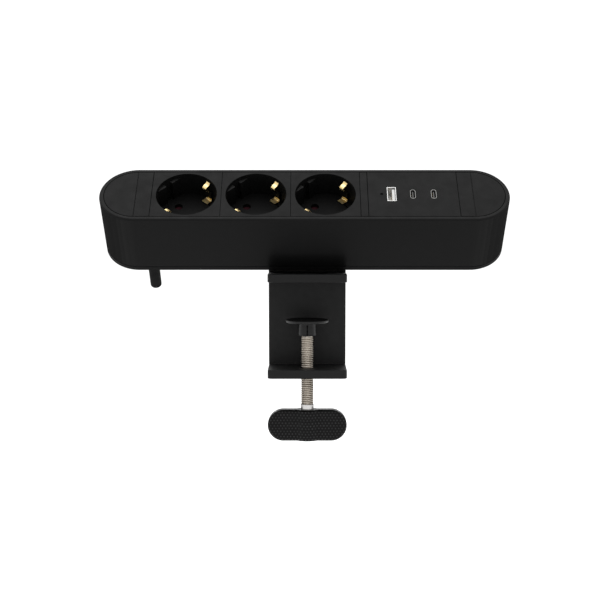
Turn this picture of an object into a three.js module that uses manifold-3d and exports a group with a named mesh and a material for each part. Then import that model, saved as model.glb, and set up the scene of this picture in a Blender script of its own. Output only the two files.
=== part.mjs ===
// A desk power strip: a slanted stadium-shaped strip with three earthed sockets and a USB
// charger, screwed to the flange of a C-clamp that grips the rear edge of a desk.
//
// Millimetres, +Z up. The origin is the centre of the upper jaw's underside, which rests on the
// desk's top. -Y points at the person at the desk, +Y away over the desk's rear edge.
// The strip's pieces are drawn lying flat in a group of their own, with z = 0 at the top face,
// x along the strip and y across it. That group is then tilted towards the person.

import * as THREE from 'three';
import { mergeVertices } from 'three/addons/utils/BufferGeometryUtils.js';
import Module from 'manifold-3d';

const wasm = await Module();
wasm.setup();

// ---- driving dimensions -------------------------------------------------------------------

const SEAM = 0.3; // clearance between pieces that meet
const CUT = 1; // how far a cutting tool runs past the face it opens

const STRIP_LENGTH = 266;
const STRIP_WIDTH = 48.6;
const STRIP_HEIGHT = 45.5;
const STRIP_TILT = THREE.MathUtils.degToRad(43);
const STRIP_PLACE = new THREE.Vector3(-1.8, -17.1, 57.6); // centre of the strip's top face
const RIM_WIDTH = 2.9;
const COVER_THICKNESS = 2.8;
const PLATE_THICKNESS = 3;
const END_POST_RADIUS = 4.2;
const COVER_SCREW_X = 118;
const COVER_SCREW_HOLE = 1.8; // radius
const COVER_SCREW_RECESS = { radius: 3.3, depth: 1.6 };
const COVER_SCREW = { radius: 1.5, length: 14.3, headRadius: 3, headThickness: 1.2, inset: 0.1 };
const PILOT_HOLE_DEPTH = 12.6; // of the end posts, from their lower ends

const SOCKET_PITCH = 45;
const SOCKET_COUNT = 3;
const SOCKETS_START = -99; // left edge of the first socket
const END_CAP_SEAM = 109.5; // from the strip's centre
const USB_START = 41;
const USB_END = 99.6;

const WELL_RADIUS = 19.75;
const WELL_DEPTH = 17.5;
const CUP_WALL = 1.2;
const CUP_FLOOR = 2.2;
const PIN_OFFSET = 9.5; // half of the 19 mm pin spacing
const PIN_HOLE_RADIUS = 2.7;
const PIN_AXIS_TURN = THREE.MathUtils.degToRad(135);
const KEY_FACE = 17.3; // from the well's centre to the flat keys at the two pin sides
const KEY_TOP = -3.2;
const KEY_GROOVE = 2.6; // half of the groove between a pair of keys
const RAIL_HALF_LENGTH = 11.5; // of the rails that guide a shutter under the well's floor
const RAIL_THICKNESS = 1.4;

const SHUTTER_TRAVEL = 5.5;
const SHUTTER_THICKNESS = 2.4;
const SHUTTER_WIDTH = 9;
const SHUTTER_LONG_END = 4.2; // past the centre of its outer hole, on the side it slides from
const SHUTTER_SHORT_END = 3.7;

const CONTACT_SHEET = 0.8;
const CONTACT_TAB_RADIUS = 15.8; // of the earth clips' tabs through the well's floor
const CONTACT_TAB = { width: 4.4, thickness: 0.9, gap: 0.35 };
const EARTH_FOOT_WIDTH = 4.8;
const EARTH_NOSE_WIDTH = 3.2;

const BUSBAR_START = -93;
const BUSBAR_WIDTH = 6;
const BUSBAR_TOP = -37.5;
const BUSBAR_THICKNESS = 0.9;
const PRONG = { offset: 3.1, thickness: 0.8, width: 5, top: -28 };
const EARTH_RAIL = { width: 4, thickness: 1 };
const CARRIER_WIDTH = 24;

const USB_DEPTH = 13.7;
const USB_A_X = 56.4;
const USB_C_X = [70.2, 83.7];
const USB_A_SIZE = { x: 5.9, y: 13.3 };
const USB_C_SIZE = { x: 3.8, y: 8.9 };
const USB_A_BLADE = { thickness: 1.8, width: 10.6, offset: 0.9 };
const USB_C_BLADE = { thickness: 0.7, width: 6.6, offset: 0 };
const BLADE_TOP = -1.2;
const RECEPTACLE_WALL = 0.35;
const RECEPTACLE_BASE = 4;
const LED_X = 50;
const LED_RADIUS = 0.8;
const BOARD = { x: [46, 96], y: [-17, 17], thickness: 1.6 };
const TRANSFORMER = { x: [60, 78], y: [-8, 8], bottom: -32 };
const CAPACITOR = { x: 88, y: 8, radius: 5, bottom: -34 };

const CORD_X = -103.4;
const CORD_RADIUS = 3.85;
const CORD_INSIDE = 12; // length of cord inside the strip
const CORD_OUTSIDE = 39.2; // length of cord below the strip
const LEAD_RADIUS = 1.1;
const LEAD_PLACE = 1.8; // of each lead's centre inside the cord's jacket
const GLAND = { radius: 5.8, collarRadius: 7.8, collarThickness: 1.7, inset: 0.1 };
const CORD_SADDLE = { x: 5.4, y: 9, lift: 2.4, height: 4 }; // half sizes along x and y

const CLAMP_WIDTH = 52.1;
const JAW_THICKNESS = 5.4;
const UPPER_JAW_FRONT = -15.5;
const LOWER_JAW_FRONT = -19.3;
const LOWER_JAW_THICKNESS = 5.7;
const BACK_PLATE_FRONT = 15.5;
const BACK_PLATE_THICKNESS = 5;
const CLAMP_OPENING = 57.1;
const FLANGE_THICKNESS = 4.5;
const FLANGE_END = 22; // across the strip's underside, from its centre line
const BRACKET_SCREW_SPREAD = 14;
const BRACKET_SCREW_Y = 16.5;
const BRACKET_SCREW_HOLE = 2.3; // radius
const BRACKET_SCREW = { radius: 2, length: 12.1, headRadius: 3.8, headFace: 3.2, headThickness: 2.4 };
const BACKING_PLATE = { x: 21, y: [12.6, 20.4], thickness: 2 }; // x is half its length
const JAW_CORNER_RADIUS = 3;
const LOWER_BEND_RADIUS = 5;

const SPINDLE_Y = -2;
const SPINDLE_RADIUS = 4.1;
const BALL = { centre: -31, radius: 3.8, topAngle: THREE.MathUtils.degToRad(50) };
const NECK_RADIUS = 2.5;
const THREAD_CHAMFER = 0.5;
const PAD_TOP = -25.1;
const PAD_RADIUS = 14.2;
const PAD_THICKNESS = 2.4;
const HUB_RADIUS = 5.9;
const HUB_BOTTOM = -35.8;
const HUB_TAPER = 0.4;
const HUB_CAVITY_RADIUS = 4.2;
const HUB_LIP = { radius: 3, height: 1.5 };
const HUB_SLOT = { halfWidth: 0.45, reach: 8, floor: 1.6 };
const PAD_CHAMFER = 0.8;
const SHANK_TOP = -81.8;
const SHANK_RADIUS = 4.3;

const KNOB_TOP = -85.1;
const KNOB_LENGTH = 52.8;
const KNOB_HEIGHT = 21;
const KNOB_THICKNESS = 11;
const KNOB_HUB_RADIUS = 8.5;
const KNOB_FLOOR = 5; // left below the shank's blind bore

// ---- materials ----------------------------------------------------------------------------

function material(color, roughness, metalness = 0) {
  return new THREE.MeshStandardMaterial({ color, roughness, metalness });
}

const blackPlastic = () => material(0x1c1c1d, 0.55);
const darkPlastic = () => material(0x161617, 0.6);
const blackCoatedSteel = () => material(0x1a1a1b, 0.5, 0.3);
const zincSteel = () => material(0x9b948a, 0.35, 0.9);
const brass = () => material(0xc9a648, 0.3, 1);
const shellSteel = () => material(0xd8d8d8, 0.3, 0.9);

// ---- geometry helpers ---------------------------------------------------------------------

// A closed geometry as a manifold solid: shared corners merged, slivers at a lathe's axis dropped.
function toSolid(geometry) {
  const bare = geometry.clone();
  bare.deleteAttribute('normal');
  bare.deleteAttribute('uv');
  const merged = mergeVertices(bare, 1e-4);
  const index = merged.index.array;
  const triangles = [];
  for (let i = 0; i < index.length; i += 3) {
    const [a, b, c] = [index[i], index[i + 1], index[i + 2]];
    if (a !== b && b !== c && c !== a) {
      triangles.push(a, b, c);
    }
  }
  return new wasm.Manifold(new wasm.Mesh({
    numProp: 3,
    vertProperties: new Float32Array(merged.attributes.position.array),
    triVerts: new Uint32Array(triangles),
  }));
}

function fromSolid(solid) {
  const mesh = solid.getMesh();
  const geometry = new THREE.BufferGeometry();
  geometry.setAttribute('position', new THREE.BufferAttribute(mesh.vertProperties, 3));
  geometry.setIndex(new THREE.BufferAttribute(mesh.triVerts, 1));
  geometry.computeVertexNormals();
  return geometry;
}

function join(...geometries) {
  return fromSolid(geometries.map(toSolid).reduce((whole, next) => whole.add(next)));
}

function cut(geometry, ...tools) {
  return fromSolid(tools.map(toSolid).reduce((whole, tool) => whole.subtract(tool), toSolid(geometry)));
}

// A box between two limits on each axis.
function slab([xMin, xMax], [yMin, yMax], [zMin, zMax]) {
  const box = new THREE.BoxGeometry(xMax - xMin, yMax - yMin, zMax - zMin);
  return box.translate((xMin + xMax) / 2, (yMin + yMax) / 2, (zMin + zMax) / 2);
}

// An upright cylinder.
function rod(x, y, [zMin, zMax], radius, sides = 32) {
  const cylinder = new THREE.CylinderGeometry(radius, radius, zMax - zMin, sides);
  return cylinder.rotateX(Math.PI / 2).translate(x, y, (zMin + zMax) / 2);
}

// An outline drawn in x and y, standing between two heights.
function prism(shape, [zMin, zMax], curveSegments = 24) {
  const options = { depth: zMax - zMin, bevelEnabled: false, curveSegments };
  return new THREE.ExtrudeGeometry(shape, options).translate(0, 0, zMin);
}

// An outline drawn in y and z, extruded along x about x = 0.
function profileAlongX(shape, width, curveSegments = 8) {
  const options = { depth: width, bevelEnabled: false, curveSegments };
  const geometry = new THREE.ExtrudeGeometry(shape, options).translate(0, 0, -width / 2);
  return geometry.rotateX(Math.PI / 2).rotateZ(Math.PI / 2);
}

// A closed or axis-to-axis profile of [radius, z] points, turned about the z axis.
function turned(points, sides = 36) {
  const profile = points.map(([radius, z]) => new THREE.Vector2(radius, z));
  return new THREE.LatheGeometry(profile, sides).rotateX(Math.PI / 2);
}

// A rectangle with round ends, long side along x.
function stadium(length, width) {
  const radius = width / 2;
  const centre = length / 2 - radius;
  const shape = new THREE.Shape();
  shape.absarc(centre, 0, radius, -Math.PI / 2, Math.PI / 2);
  shape.absarc(-centre, 0, radius, Math.PI / 2, Math.PI * 1.5);
  shape.closePath();
  return shape;
}

function polygon(points) {
  return new THREE.Shape(points.map(([x, y]) => new THREE.Vector2(x, y)));
}

// A strip of even thickness along a polyline of [u, v] points: sheet metal seen from its edge.
function bentStrip(points, thickness) {
  const corners = points.map(([u, v]) => new THREE.Vector2(u, v));
  const side = (sign) => corners.map((corner, i) => {
    const before = corners[Math.max(i - 1, 0)];
    const after = corners[Math.min(i + 1, corners.length - 1)];
    const ahead = after.clone().sub(before).normalize();
    return new THREE.Vector2(-ahead.y, ahead.x).multiplyScalar(sign * thickness / 2).add(corner);
  });
  return new THREE.Shape([...side(-1), ...side(1).reverse()]);
}

function add(parent, name, geometry, surface) {
  const mesh = new THREE.Mesh(geometry, surface);
  mesh.name = name;
  parent.add(mesh);
  return mesh;
}

// ---- strip: housing, cover and fillers ----------------------------------------------------

const innerWidth = STRIP_WIDTH - 2 * RIM_WIDTH;
const innerLength = STRIP_LENGTH - 2 * RIM_WIDTH;
const plateWidth = innerWidth - 2 * SEAM;
const coverTop = COVER_THICKNESS - STRIP_HEIGHT;
const socketsEnd = SOCKETS_START + SOCKET_COUNT * SOCKET_PITCH;
const clampX = -STRIP_PLACE.x; // the clamp's centre line, along the strip
const postBottom = coverTop + SEAM;

const strip = new THREE.Group();
strip.position.copy(STRIP_PLACE);
strip.rotation.x = STRIP_TILT;

function housingSleeve() {
  const outside = prism(stadium(STRIP_LENGTH, STRIP_WIDTH), [coverTop + SEAM, 0]);
  const inside = prism(stadium(innerLength, innerWidth), [-STRIP_HEIGHT - CUT, CUT]);
  return cut(outside, inside);
}

function bracketScrewHoles(zRange) {
  return [-1, 1].map((side) => (
    rod(clampX + side * BRACKET_SCREW_SPREAD, BRACKET_SCREW_Y, zRange, BRACKET_SCREW_HOLE, 16)
  ));
}

function bottomCover() {
  const plate = prism(stadium(STRIP_LENGTH, STRIP_WIDTH), [-STRIP_HEIGHT, coverTop]);
  const through = [-STRIP_HEIGHT - CUT, coverTop + CUT];
  const headRecess = [-STRIP_HEIGHT - CUT, -STRIP_HEIGHT + COVER_SCREW_RECESS.depth];
  const endHoles = [-COVER_SCREW_X, COVER_SCREW_X].flatMap((x) => [
    rod(x, 0, through, COVER_SCREW_HOLE, 16),
    rod(x, 0, headRecess, COVER_SCREW_RECESS.radius, 20),
  ]);
  const glandHole = rod(CORD_X, 0, through, GLAND.radius + SEAM);
  return cut(plate, ...endHoles, glandHole, ...bracketScrewHoles(through));
}

// A flat plate between two places along the strip, flush with the rim.
function topPlate(xMin, xMax) {
  return slab(
    [xMin + SEAM / 2, xMax - SEAM / 2],
    [-plateWidth / 2, plateWidth / 2],
    [-PLATE_THICKNESS, 0],
  );
}

// The half-round plate at one end, with the post that takes the cover's screw.
function endCap(side) {
  const plate = prism(stadium(innerLength - 2 * SEAM, plateWidth), [-PLATE_THICKNESS, 0]);
  const middle = END_CAP_SEAM + SEAM / 2;
  const waste = slab(
    side > 0 ? [-STRIP_LENGTH, middle] : [-middle, STRIP_LENGTH],
    [-STRIP_WIDTH, STRIP_WIDTH],
    [-PLATE_THICKNESS - CUT, CUT],
  );
  const post = rod(side * COVER_SCREW_X, 0, [postBottom, -CUT], END_POST_RADIUS, 24);
  const pilotZ = [postBottom - CUT, postBottom + PILOT_HOLE_DEPTH];
  const pilotHole = rod(side * COVER_SCREW_X, 0, pilotZ, COVER_SCREW_HOLE, 16);
  return cut(join(cut(plate, waste), post), pilotHole);
}

function coverScrew() {
  const head = COVER_SCREW.inset - STRIP_HEIGHT;
  const seat = head + COVER_SCREW.headThickness;
  const tip = head + COVER_SCREW.length;
  return turned([
    [0, head],
    [COVER_SCREW.headRadius, head],
    [COVER_SCREW.headRadius, seat],
    [COVER_SCREW.radius, seat],
    [COVER_SCREW.radius, tip - COVER_SCREW.radius / 3],
    [0, tip],
  ], 20);
}

add(strip, 'housing_sleeve', housingSleeve(), blackPlastic());
add(strip, 'bottom_cover', bottomCover(), darkPlastic());
add(strip, 'end_cap_left', endCap(-1), blackPlastic());
add(strip, 'end_cap_right', endCap(1), blackPlastic());
add(strip, 'filler_plate_left', topPlate(-END_CAP_SEAM, SOCKETS_START), blackPlastic());
add(strip, 'filler_plate_right', topPlate(USB_END, END_CAP_SEAM), blackPlastic());
add(strip, 'spacer_bar', topPlate(socketsEnd, USB_START), blackPlastic());
add(strip, 'cover_screw_left', coverScrew(), zincSteel()).position.x = -COVER_SCREW_X;
add(strip, 'cover_screw_right', coverScrew(), zincSteel()).position.x = COVER_SCREW_X;

// ---- strip: sockets -----------------------------------------------------------------------

const cupRadius = WELL_RADIUS + CUP_WALL;
const cupBottom = -WELL_DEPTH - CUP_FLOOR;
const shutterTop = cupBottom - SEAM;
const shutterBottom = shutterTop - SHUTTER_THICKNESS;
const earthBridgeTop = shutterBottom - 4 * SEAM;
const earthBridgeBottom = earthBridgeTop - CONTACT_TAB.thickness;

// The features below are drawn with the pins along x, then turned into place.
function socketInsert() {
  const face = topPlate(-SOCKET_PITCH / 2, SOCKET_PITCH / 2);
  const cup = rod(0, 0, [cupBottom, 0], cupRadius, 64);
  const well = rod(0, 0, [-WELL_DEPTH, CUT], WELL_RADIUS, 64);
  const throughFloor = [cupBottom - CUT, -WELL_DEPTH + CUT];
  const keyDepth = WELL_RADIUS + CUT - KEY_FACE;
  const keys = [KEY_FACE, -KEY_FACE - keyDepth].flatMap((x) => [KEY_GROOVE, -WELL_RADIUS].map((y) => (
    slab([x, x + keyDepth], [y, y + WELL_RADIUS - KEY_GROOVE], [-WELL_DEPTH - CUT, KEY_TOP])
  )));
  const shutterRails = [-1, 1].map((side) => {
    const middle = side * (SHUTTER_WIDTH / 2 + SEAM + RAIL_THICKNESS / 2);
    return slab(
      [-RAIL_HALF_LENGTH, RAIL_HALF_LENGTH],
      [middle - RAIL_THICKNESS / 2, middle + RAIL_THICKNESS / 2],
      [shutterBottom, cupBottom + CUT],
    );
  });
  const pinHoles = [-1, 1].map((side) => rod(side * PIN_OFFSET, 0, throughFloor, PIN_HOLE_RADIUS, 20));
  const earthSlots = [-1, 1].map((side) => {
    const y = side * CONTACT_TAB_RADIUS;
    const halfWidth = CONTACT_TAB.width / 2 + SEAM;
    const halfDepth = CONTACT_TAB.thickness / 2 + CONTACT_TAB.gap;
    return slab([-halfWidth, halfWidth], [y - halfDepth, y + halfDepth], throughFloor);
  });
  const rails = shutterRails.map((part) => part.rotateZ(PIN_AXIS_TURN));
  const hollows = [cut(well, ...keys), ...pinHoles, ...earthSlots];
  return cut(join(face, cup, ...rails), ...hollows.map((part) => part.rotateZ(PIN_AXIS_TURN)));
}

// A plate whose two holes stand clear of the pins' holes until it slides along the pin axis.
function shutter() {
  const plate = slab(
    [-PIN_OFFSET - SHUTTER_TRAVEL - SHUTTER_LONG_END, PIN_OFFSET + SHUTTER_SHORT_END],
    [-SHUTTER_WIDTH / 2, SHUTTER_WIDTH / 2],
    [shutterBottom, shutterTop],
  );
  const through = [shutterBottom - CUT, shutterTop + CUT];
  const holes = [-1, 1].map((side) => (
    rod(side * PIN_OFFSET - SHUTTER_TRAVEL, 0, through, PIN_HOLE_RADIUS, 20)
  ));
  return cut(plate, ...holes).rotateZ(PIN_AXIS_TURN);
}

// Two sprung side clips, each with a foot on the well's floor and a narrower nose that stands
// in from the wall, joined by a strip under the floor.
function earthContact() {
  const footHeight = -WELL_DEPTH + SEAM + CONTACT_SHEET / 2;
  const wallSide = 18.8;
  const foot = bentStrip([
    [14.3, footHeight],
    [wallSide - 0.4, footHeight],
    [wallSide, footHeight + 1.2],
    [wallSide, -13.2],
  ], CONTACT_SHEET);
  const nose = bentStrip([
    [wallSide, -13.8],
    [wallSide - 0.4, -12.4],
    [15, -5.6],
    [16.3, -3.4],
    [19, -1.8],
  ], CONTACT_SHEET);
  const halfWidth = CONTACT_TAB.width / 2;
  const innerSide = CONTACT_TAB_RADIUS - CONTACT_TAB.thickness / 2;
  const outerSide = CONTACT_TAB_RADIUS + CONTACT_TAB.thickness / 2;
  const clips = [0, Math.PI].flatMap((turn) => [
    profileAlongX(foot, EARTH_FOOT_WIDTH).rotateZ(turn),
    profileAlongX(nose, EARTH_NOSE_WIDTH).rotateZ(turn),
    slab([-halfWidth, halfWidth], [innerSide, outerSide], [earthBridgeBottom, footHeight]).rotateZ(turn),
  ]);
  const bridge = slab([-halfWidth, halfWidth], [-outerSide, outerSide], [earthBridgeBottom, earthBridgeTop]);
  return join(bridge, ...clips).rotateZ(PIN_AXIS_TURN);
}

for (let i = 0; i < SOCKET_COUNT; i += 1) {
  const socket = new THREE.Group();
  socket.position.x = SOCKETS_START + (i + 0.5) * SOCKET_PITCH;
  add(socket, `socket_insert_${i + 1}`, socketInsert(), blackPlastic());
  add(socket, `shutter_${i + 1}`, shutter(), material(0x9c2a30, 0.5));
  add(socket, `earth_contact_${i + 1}`, earthContact(), brass());
  strip.add(socket);
}

// ---- strip: current-carrying bars and their carrier ---------------------------------------

const barX = [BUSBAR_START, socketsEnd + 4];
const barZ = [BUSBAR_TOP - BUSBAR_THICKNESS, BUSBAR_TOP];
const pinShift = PIN_OFFSET * Math.SQRT1_2;

// A flat bar with a pair of upright prongs for one pin of each socket.
function busbar(side) {
  const barY = side * pinShift;
  const prongs = [];
  for (let i = 0; i < SOCKET_COUNT; i += 1) {
    const pinX = SOCKETS_START + (i + 0.5) * SOCKET_PITCH - side * pinShift;
    for (const face of [-1, 1]) {
      const x = pinX + face * PRONG.offset;
      prongs.push(slab(
        [x - PRONG.thickness / 2, x + PRONG.thickness / 2],
        [barY - PRONG.width / 2, barY + PRONG.width / 2],
        [barZ[0], PRONG.top],
      ));
    }
  }
  return join(slab(barX, [barY - BUSBAR_WIDTH / 2, barY + BUSBAR_WIDTH / 2], barZ), ...prongs);
}

const carrier = slab(
  [BUSBAR_START - 1, socketsEnd + 6],
  [-CARRIER_WIDTH / 2, CARRIER_WIDTH / 2],
  [postBottom, barZ[0] - SEAM],
);
const earthRailTop = earthBridgeBottom - SEAM;
const earthRail = slab(
  barX,
  [-EARTH_RAIL.width / 2, EARTH_RAIL.width / 2],
  [earthRailTop - EARTH_RAIL.thickness, earthRailTop],
);

add(strip, 'live_busbar', busbar(1), brass());
add(strip, 'neutral_busbar', busbar(-1), brass());
add(strip, 'earth_rail', earthRail, brass());
add(strip, 'busbar_carrier', carrier, material(0xd9d7cf, 0.6));

// ---- strip: USB charger -------------------------------------------------------------------

const boardTop = -USB_DEPTH - SEAM;
const boardBottom = boardTop - BOARD.thickness;

function rectangle(width, depth) {
  return polygon([
    [-width / 2, -depth / 2],
    [width / 2, -depth / 2],
    [width / 2, depth / 2],
    [-width / 2, depth / 2],
  ]);
}

// A receptacle's metal tube, from an outline that takes its size along x and y.
function receptacle(outline, size, inset, zRange, segments) {
  return prism(outline(size.x - 2 * inset, size.y - 2 * inset), zRange, segments);
}

function uprightStadium(width, depth) {
  const radius = width / 2;
  const centre = depth / 2 - radius;
  const shape = new THREE.Shape();
  shape.absarc(0, centre, radius, 0, Math.PI);
  shape.absarc(0, -centre, radius, Math.PI, Math.PI * 2);
  shape.closePath();
  return shape;
}

function shell(outline, size) {
  const tube = receptacle(outline, size, 0, [-USB_DEPTH, 0], 8);
  const hollow = receptacle(outline, size, RECEPTACLE_WALL, [-USB_DEPTH - CUT, CUT], 8);
  return cut(tube, hollow);
}

// The insulating base that closes the tube, with the contact tongue standing on it.
function tongue(outline, size, { thickness, width, offset }) {
  const baseZ = [-USB_DEPTH, -USB_DEPTH + RECEPTACLE_BASE];
  const base = receptacle(outline, size, RECEPTACLE_WALL + SEAM, baseZ, 8);
  const blade = slab(
    [offset - thickness / 2, offset + thickness / 2],
    [-width / 2, width / 2],
    [-USB_DEPTH + CUT, BLADE_TOP],
  );
  return join(base, blade);
}

function usbFaceplate() {
  const plate = topPlate(USB_START, USB_END);
  const through = [-PLATE_THICKNESS - CUT, CUT];
  const apertureA = receptacle(rectangle, USB_A_SIZE, -SEAM, through, 8).translate(USB_A_X, 0, 0);
  const aperturesC = USB_C_X.map((x) => (
    receptacle(uprightStadium, USB_C_SIZE, -SEAM, through, 8).translate(x, 0, 0)
  ));
  const ledHole = rod(LED_X, 0, through, LED_RADIUS + SEAM, 16);
  return cut(plate, apertureA, ...aperturesC, ledHole);
}

// A metal tube and its insulator, side by side in the strip under the names given.
function addPort(x, outline, size, blade, [shellName, tongueName], insulator) {
  add(strip, shellName, shell(outline, size), shellSteel()).position.x = x;
  add(strip, tongueName, tongue(outline, size, blade), insulator).position.x = x;
}

add(strip, 'usb_faceplate', usbFaceplate(), blackPlastic());
addPort(
  USB_A_X,
  rectangle,
  USB_A_SIZE,
  USB_A_BLADE,
  ['usb_a_shell', 'usb_a_tongue'],
  material(0xf2f2f0, 0.5),
);
USB_C_X.forEach((x, i) => {
  const names = [`usb_c_shell_${i + 1}`, `usb_c_tongue_${i + 1}`];
  addPort(x, uprightStadium, USB_C_SIZE, USB_C_BLADE, names, darkPlastic());
});

const ledPipe = rod(LED_X, 0, [-USB_DEPTH, 0], LED_RADIUS, 16);
const board = slab(BOARD.x, BOARD.y, [boardBottom, boardTop]);
const transformer = slab(TRANSFORMER.x, TRANSFORMER.y, [TRANSFORMER.bottom, boardBottom - SEAM]);
add(strip, 'led_light_pipe', ledPipe, material(0x6d6d70, 0.2));
add(strip, 'usb_circuit_board', board, material(0x1f5a35, 0.6));
add(strip, 'charger_transformer', transformer, material(0x2b2620, 0.7));
[-1, 1].forEach((side, i) => {
  const canZ = [CAPACITOR.bottom, boardBottom - SEAM];
  const can = rod(CAPACITOR.x, side * CAPACITOR.y, canZ, CAPACITOR.radius, 24);
  add(strip, `charger_capacitor_${i + 1}`, can, material(0x20304c, 0.4));
});

// ---- strip: mains cord --------------------------------------------------------------------

const cordTop = CORD_INSIDE - STRIP_HEIGHT;

// A rubber bush in the cover, almost flush below, with a collar inside.
function cableGland() {
  const bore = CORD_RADIUS + SEAM;
  const bottom = GLAND.inset - STRIP_HEIGHT;
  const collarTop = postBottom + GLAND.collarThickness;
  return turned([
    [bore, bottom],
    [GLAND.radius, bottom],
    [GLAND.radius, postBottom],
    [GLAND.collarRadius, postBottom],
    [GLAND.collarRadius, collarTop],
    [bore, collarTop],
    [bore, bottom],
  ], 32).translate(CORD_X, 0, 0);
}

function cordClamp() {
  const bottom = coverTop + CORD_SADDLE.lift;
  const top = bottom + CORD_SADDLE.height;
  const saddle = slab(
    [CORD_X - CORD_SADDLE.x, CORD_X + CORD_SADDLE.x],
    [-CORD_SADDLE.y, CORD_SADDLE.y],
    [bottom, top],
  );
  return cut(saddle, rod(CORD_X, 0, [bottom - CUT, top + CUT], CORD_RADIUS + SEAM, 24));
}

// A round section carried along a smooth line through some points.
function alongPath(points, radius, sides, steps) {
  const corners = [];
  for (let i = 0; i < sides; i += 1) {
    const angle = i * 2 * Math.PI / sides;
    corners.push([radius * Math.cos(angle), radius * Math.sin(angle)]);
  }
  const extrudePath = new THREE.CatmullRomCurve3(points.map((point) => new THREE.Vector3(...point)));
  return new THREE.ExtrudeGeometry(polygon(corners), { steps, bevelEnabled: false, extrudePath });
}

const powerCord = alongPath(
  [0, 1, 2, 3].map((i) => [CORD_X, 0, cordTop - i * (CORD_INSIDE + CORD_OUTSIDE) / 3]),
  CORD_RADIUS,
  12,
  4,
);

// The leads start just above the cord's end and bend over to the ends of their bars.
const leadStart = cordTop + SEAM;
const leadEndX = barX[0] - SEAM;
const leadCrest = earthBridgeBottom - 1;
const phaseLead = (side) => alongPath([
  [CORD_X + 1, side * LEAD_PLACE, leadStart],
  [CORD_X + 1.6, side * 2.8, leadCrest - 1],
  [CORD_X + 6.2, side * 5.8, leadCrest],
  [CORD_X + 10.6, side * pinShift, leadCrest - 4],
  [CORD_X + 11.8, side * pinShift, BUSBAR_TOP + SEAM],
], LEAD_RADIUS, 8, 14);
const earthLead = alongPath([
  [CORD_X - LEAD_PLACE, 0, leadStart],
  [CORD_X - LEAD_PLACE, 0, leadCrest - 3],
  [CORD_X + 1.6, 0, earthBridgeBottom + 0.4],
  [leadEndX, 0, earthRailTop - EARTH_RAIL.thickness / 2],
], LEAD_RADIUS, 8, 12);

add(strip, 'cable_gland', cableGland(), material(0x141414, 0.7));
add(strip, 'cord_clamp', cordClamp(), darkPlastic());
add(strip, 'power_cord', powerCord, material(0x151516, 0.6));
add(strip, 'live_lead', phaseLead(1), material(0x5a3420, 0.5));
add(strip, 'neutral_lead', phaseLead(-1), material(0x2c5fa8, 0.5));
add(strip, 'earth_lead', earthLead, material(0x5d9a3a, 0.5));

// ---- strip: screws into the clamp's flange ------------------------------------------------

const flangeTop = -STRIP_HEIGHT - SEAM;
const flangeBottom = flangeTop - FLANGE_THICKNESS;

function bracketScrew() {
  const seat = flangeBottom - SEAM;
  const face = seat - BRACKET_SCREW.headThickness;
  const tip = seat + BRACKET_SCREW.length;
  return turned([
    [0, face],
    [BRACKET_SCREW.headFace, face],
    [BRACKET_SCREW.headRadius, seat],
    [BRACKET_SCREW.radius, seat],
    [BRACKET_SCREW.radius, tip - BRACKET_SCREW.radius / 3],
    [0, tip],
  ], 24);
}

const backingZ = [postBottom, postBottom + BACKING_PLATE.thickness];
const backingPlate = cut(
  slab([clampX - BACKING_PLATE.x, clampX + BACKING_PLATE.x], BACKING_PLATE.y, backingZ),
  ...bracketScrewHoles([backingZ[0] - CUT, backingZ[1] + CUT]),
);
add(strip, 'bracket_backing_plate', backingPlate, zincSteel());
[-1, 1].forEach((side, i) => {
  const screw = add(strip, `bracket_screw_${i + 1}`, bracketScrew(), zincSteel());
  screw.position.set(clampX + side * BRACKET_SCREW_SPREAD, BRACKET_SCREW_Y, 0);
});

// ---- clamp --------------------------------------------------------------------------------

const clamp = new THREE.Group();
const backPlateRear = BACK_PLATE_FRONT + BACK_PLATE_THICKNESS;
const lowerJawTop = -CLAMP_OPENING;
const lowerJawBottom = lowerJawTop - LOWER_JAW_THICKNESS;

// Where a point of the strip's own y and z lies in the clamp's y and z.
function stripToClamp(y, z) {
  const point = new THREE.Vector3(0, y, z).applyAxisAngle(new THREE.Vector3(1, 0, 0), STRIP_TILT);
  return [point.y + STRIP_PLACE.y, point.z + STRIP_PLACE.z];
}

// The height at which a plane parallel to the strip's underside meets a given y.
function heightOnFlange(z, atY) {
  const [y0, z0] = stripToClamp(0, z);
  return z0 + (atY - y0) * Math.tan(STRIP_TILT);
}

function clampProfile() {
  const bendY = backPlateRear - LOWER_BEND_RADIUS;
  const bendZ = lowerJawBottom + LOWER_BEND_RADIUS;
  const shape = new THREE.Shape();
  shape.moveTo(LOWER_JAW_FRONT, lowerJawBottom);
  shape.lineTo(bendY, lowerJawBottom);
  shape.absarc(bendY, bendZ, LOWER_BEND_RADIUS, -Math.PI / 2, 0);
  shape.lineTo(backPlateRear, heightOnFlange(flangeBottom, backPlateRear));
  shape.lineTo(...stripToClamp(FLANGE_END, flangeBottom));
  shape.lineTo(...stripToClamp(FLANGE_END, flangeTop));
  shape.lineTo(BACK_PLATE_FRONT, heightOnFlange(flangeTop, BACK_PLATE_FRONT));
  shape.lineTo(BACK_PLATE_FRONT, JAW_THICKNESS);
  shape.lineTo(UPPER_JAW_FRONT, JAW_THICKNESS);
  shape.lineTo(UPPER_JAW_FRONT, 0);
  shape.lineTo(BACK_PLATE_FRONT, 0);
  shape.lineTo(BACK_PLATE_FRONT, lowerJawTop);
  shape.lineTo(LOWER_JAW_FRONT, lowerJawTop);
  shape.closePath();
  return shape;
}

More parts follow.
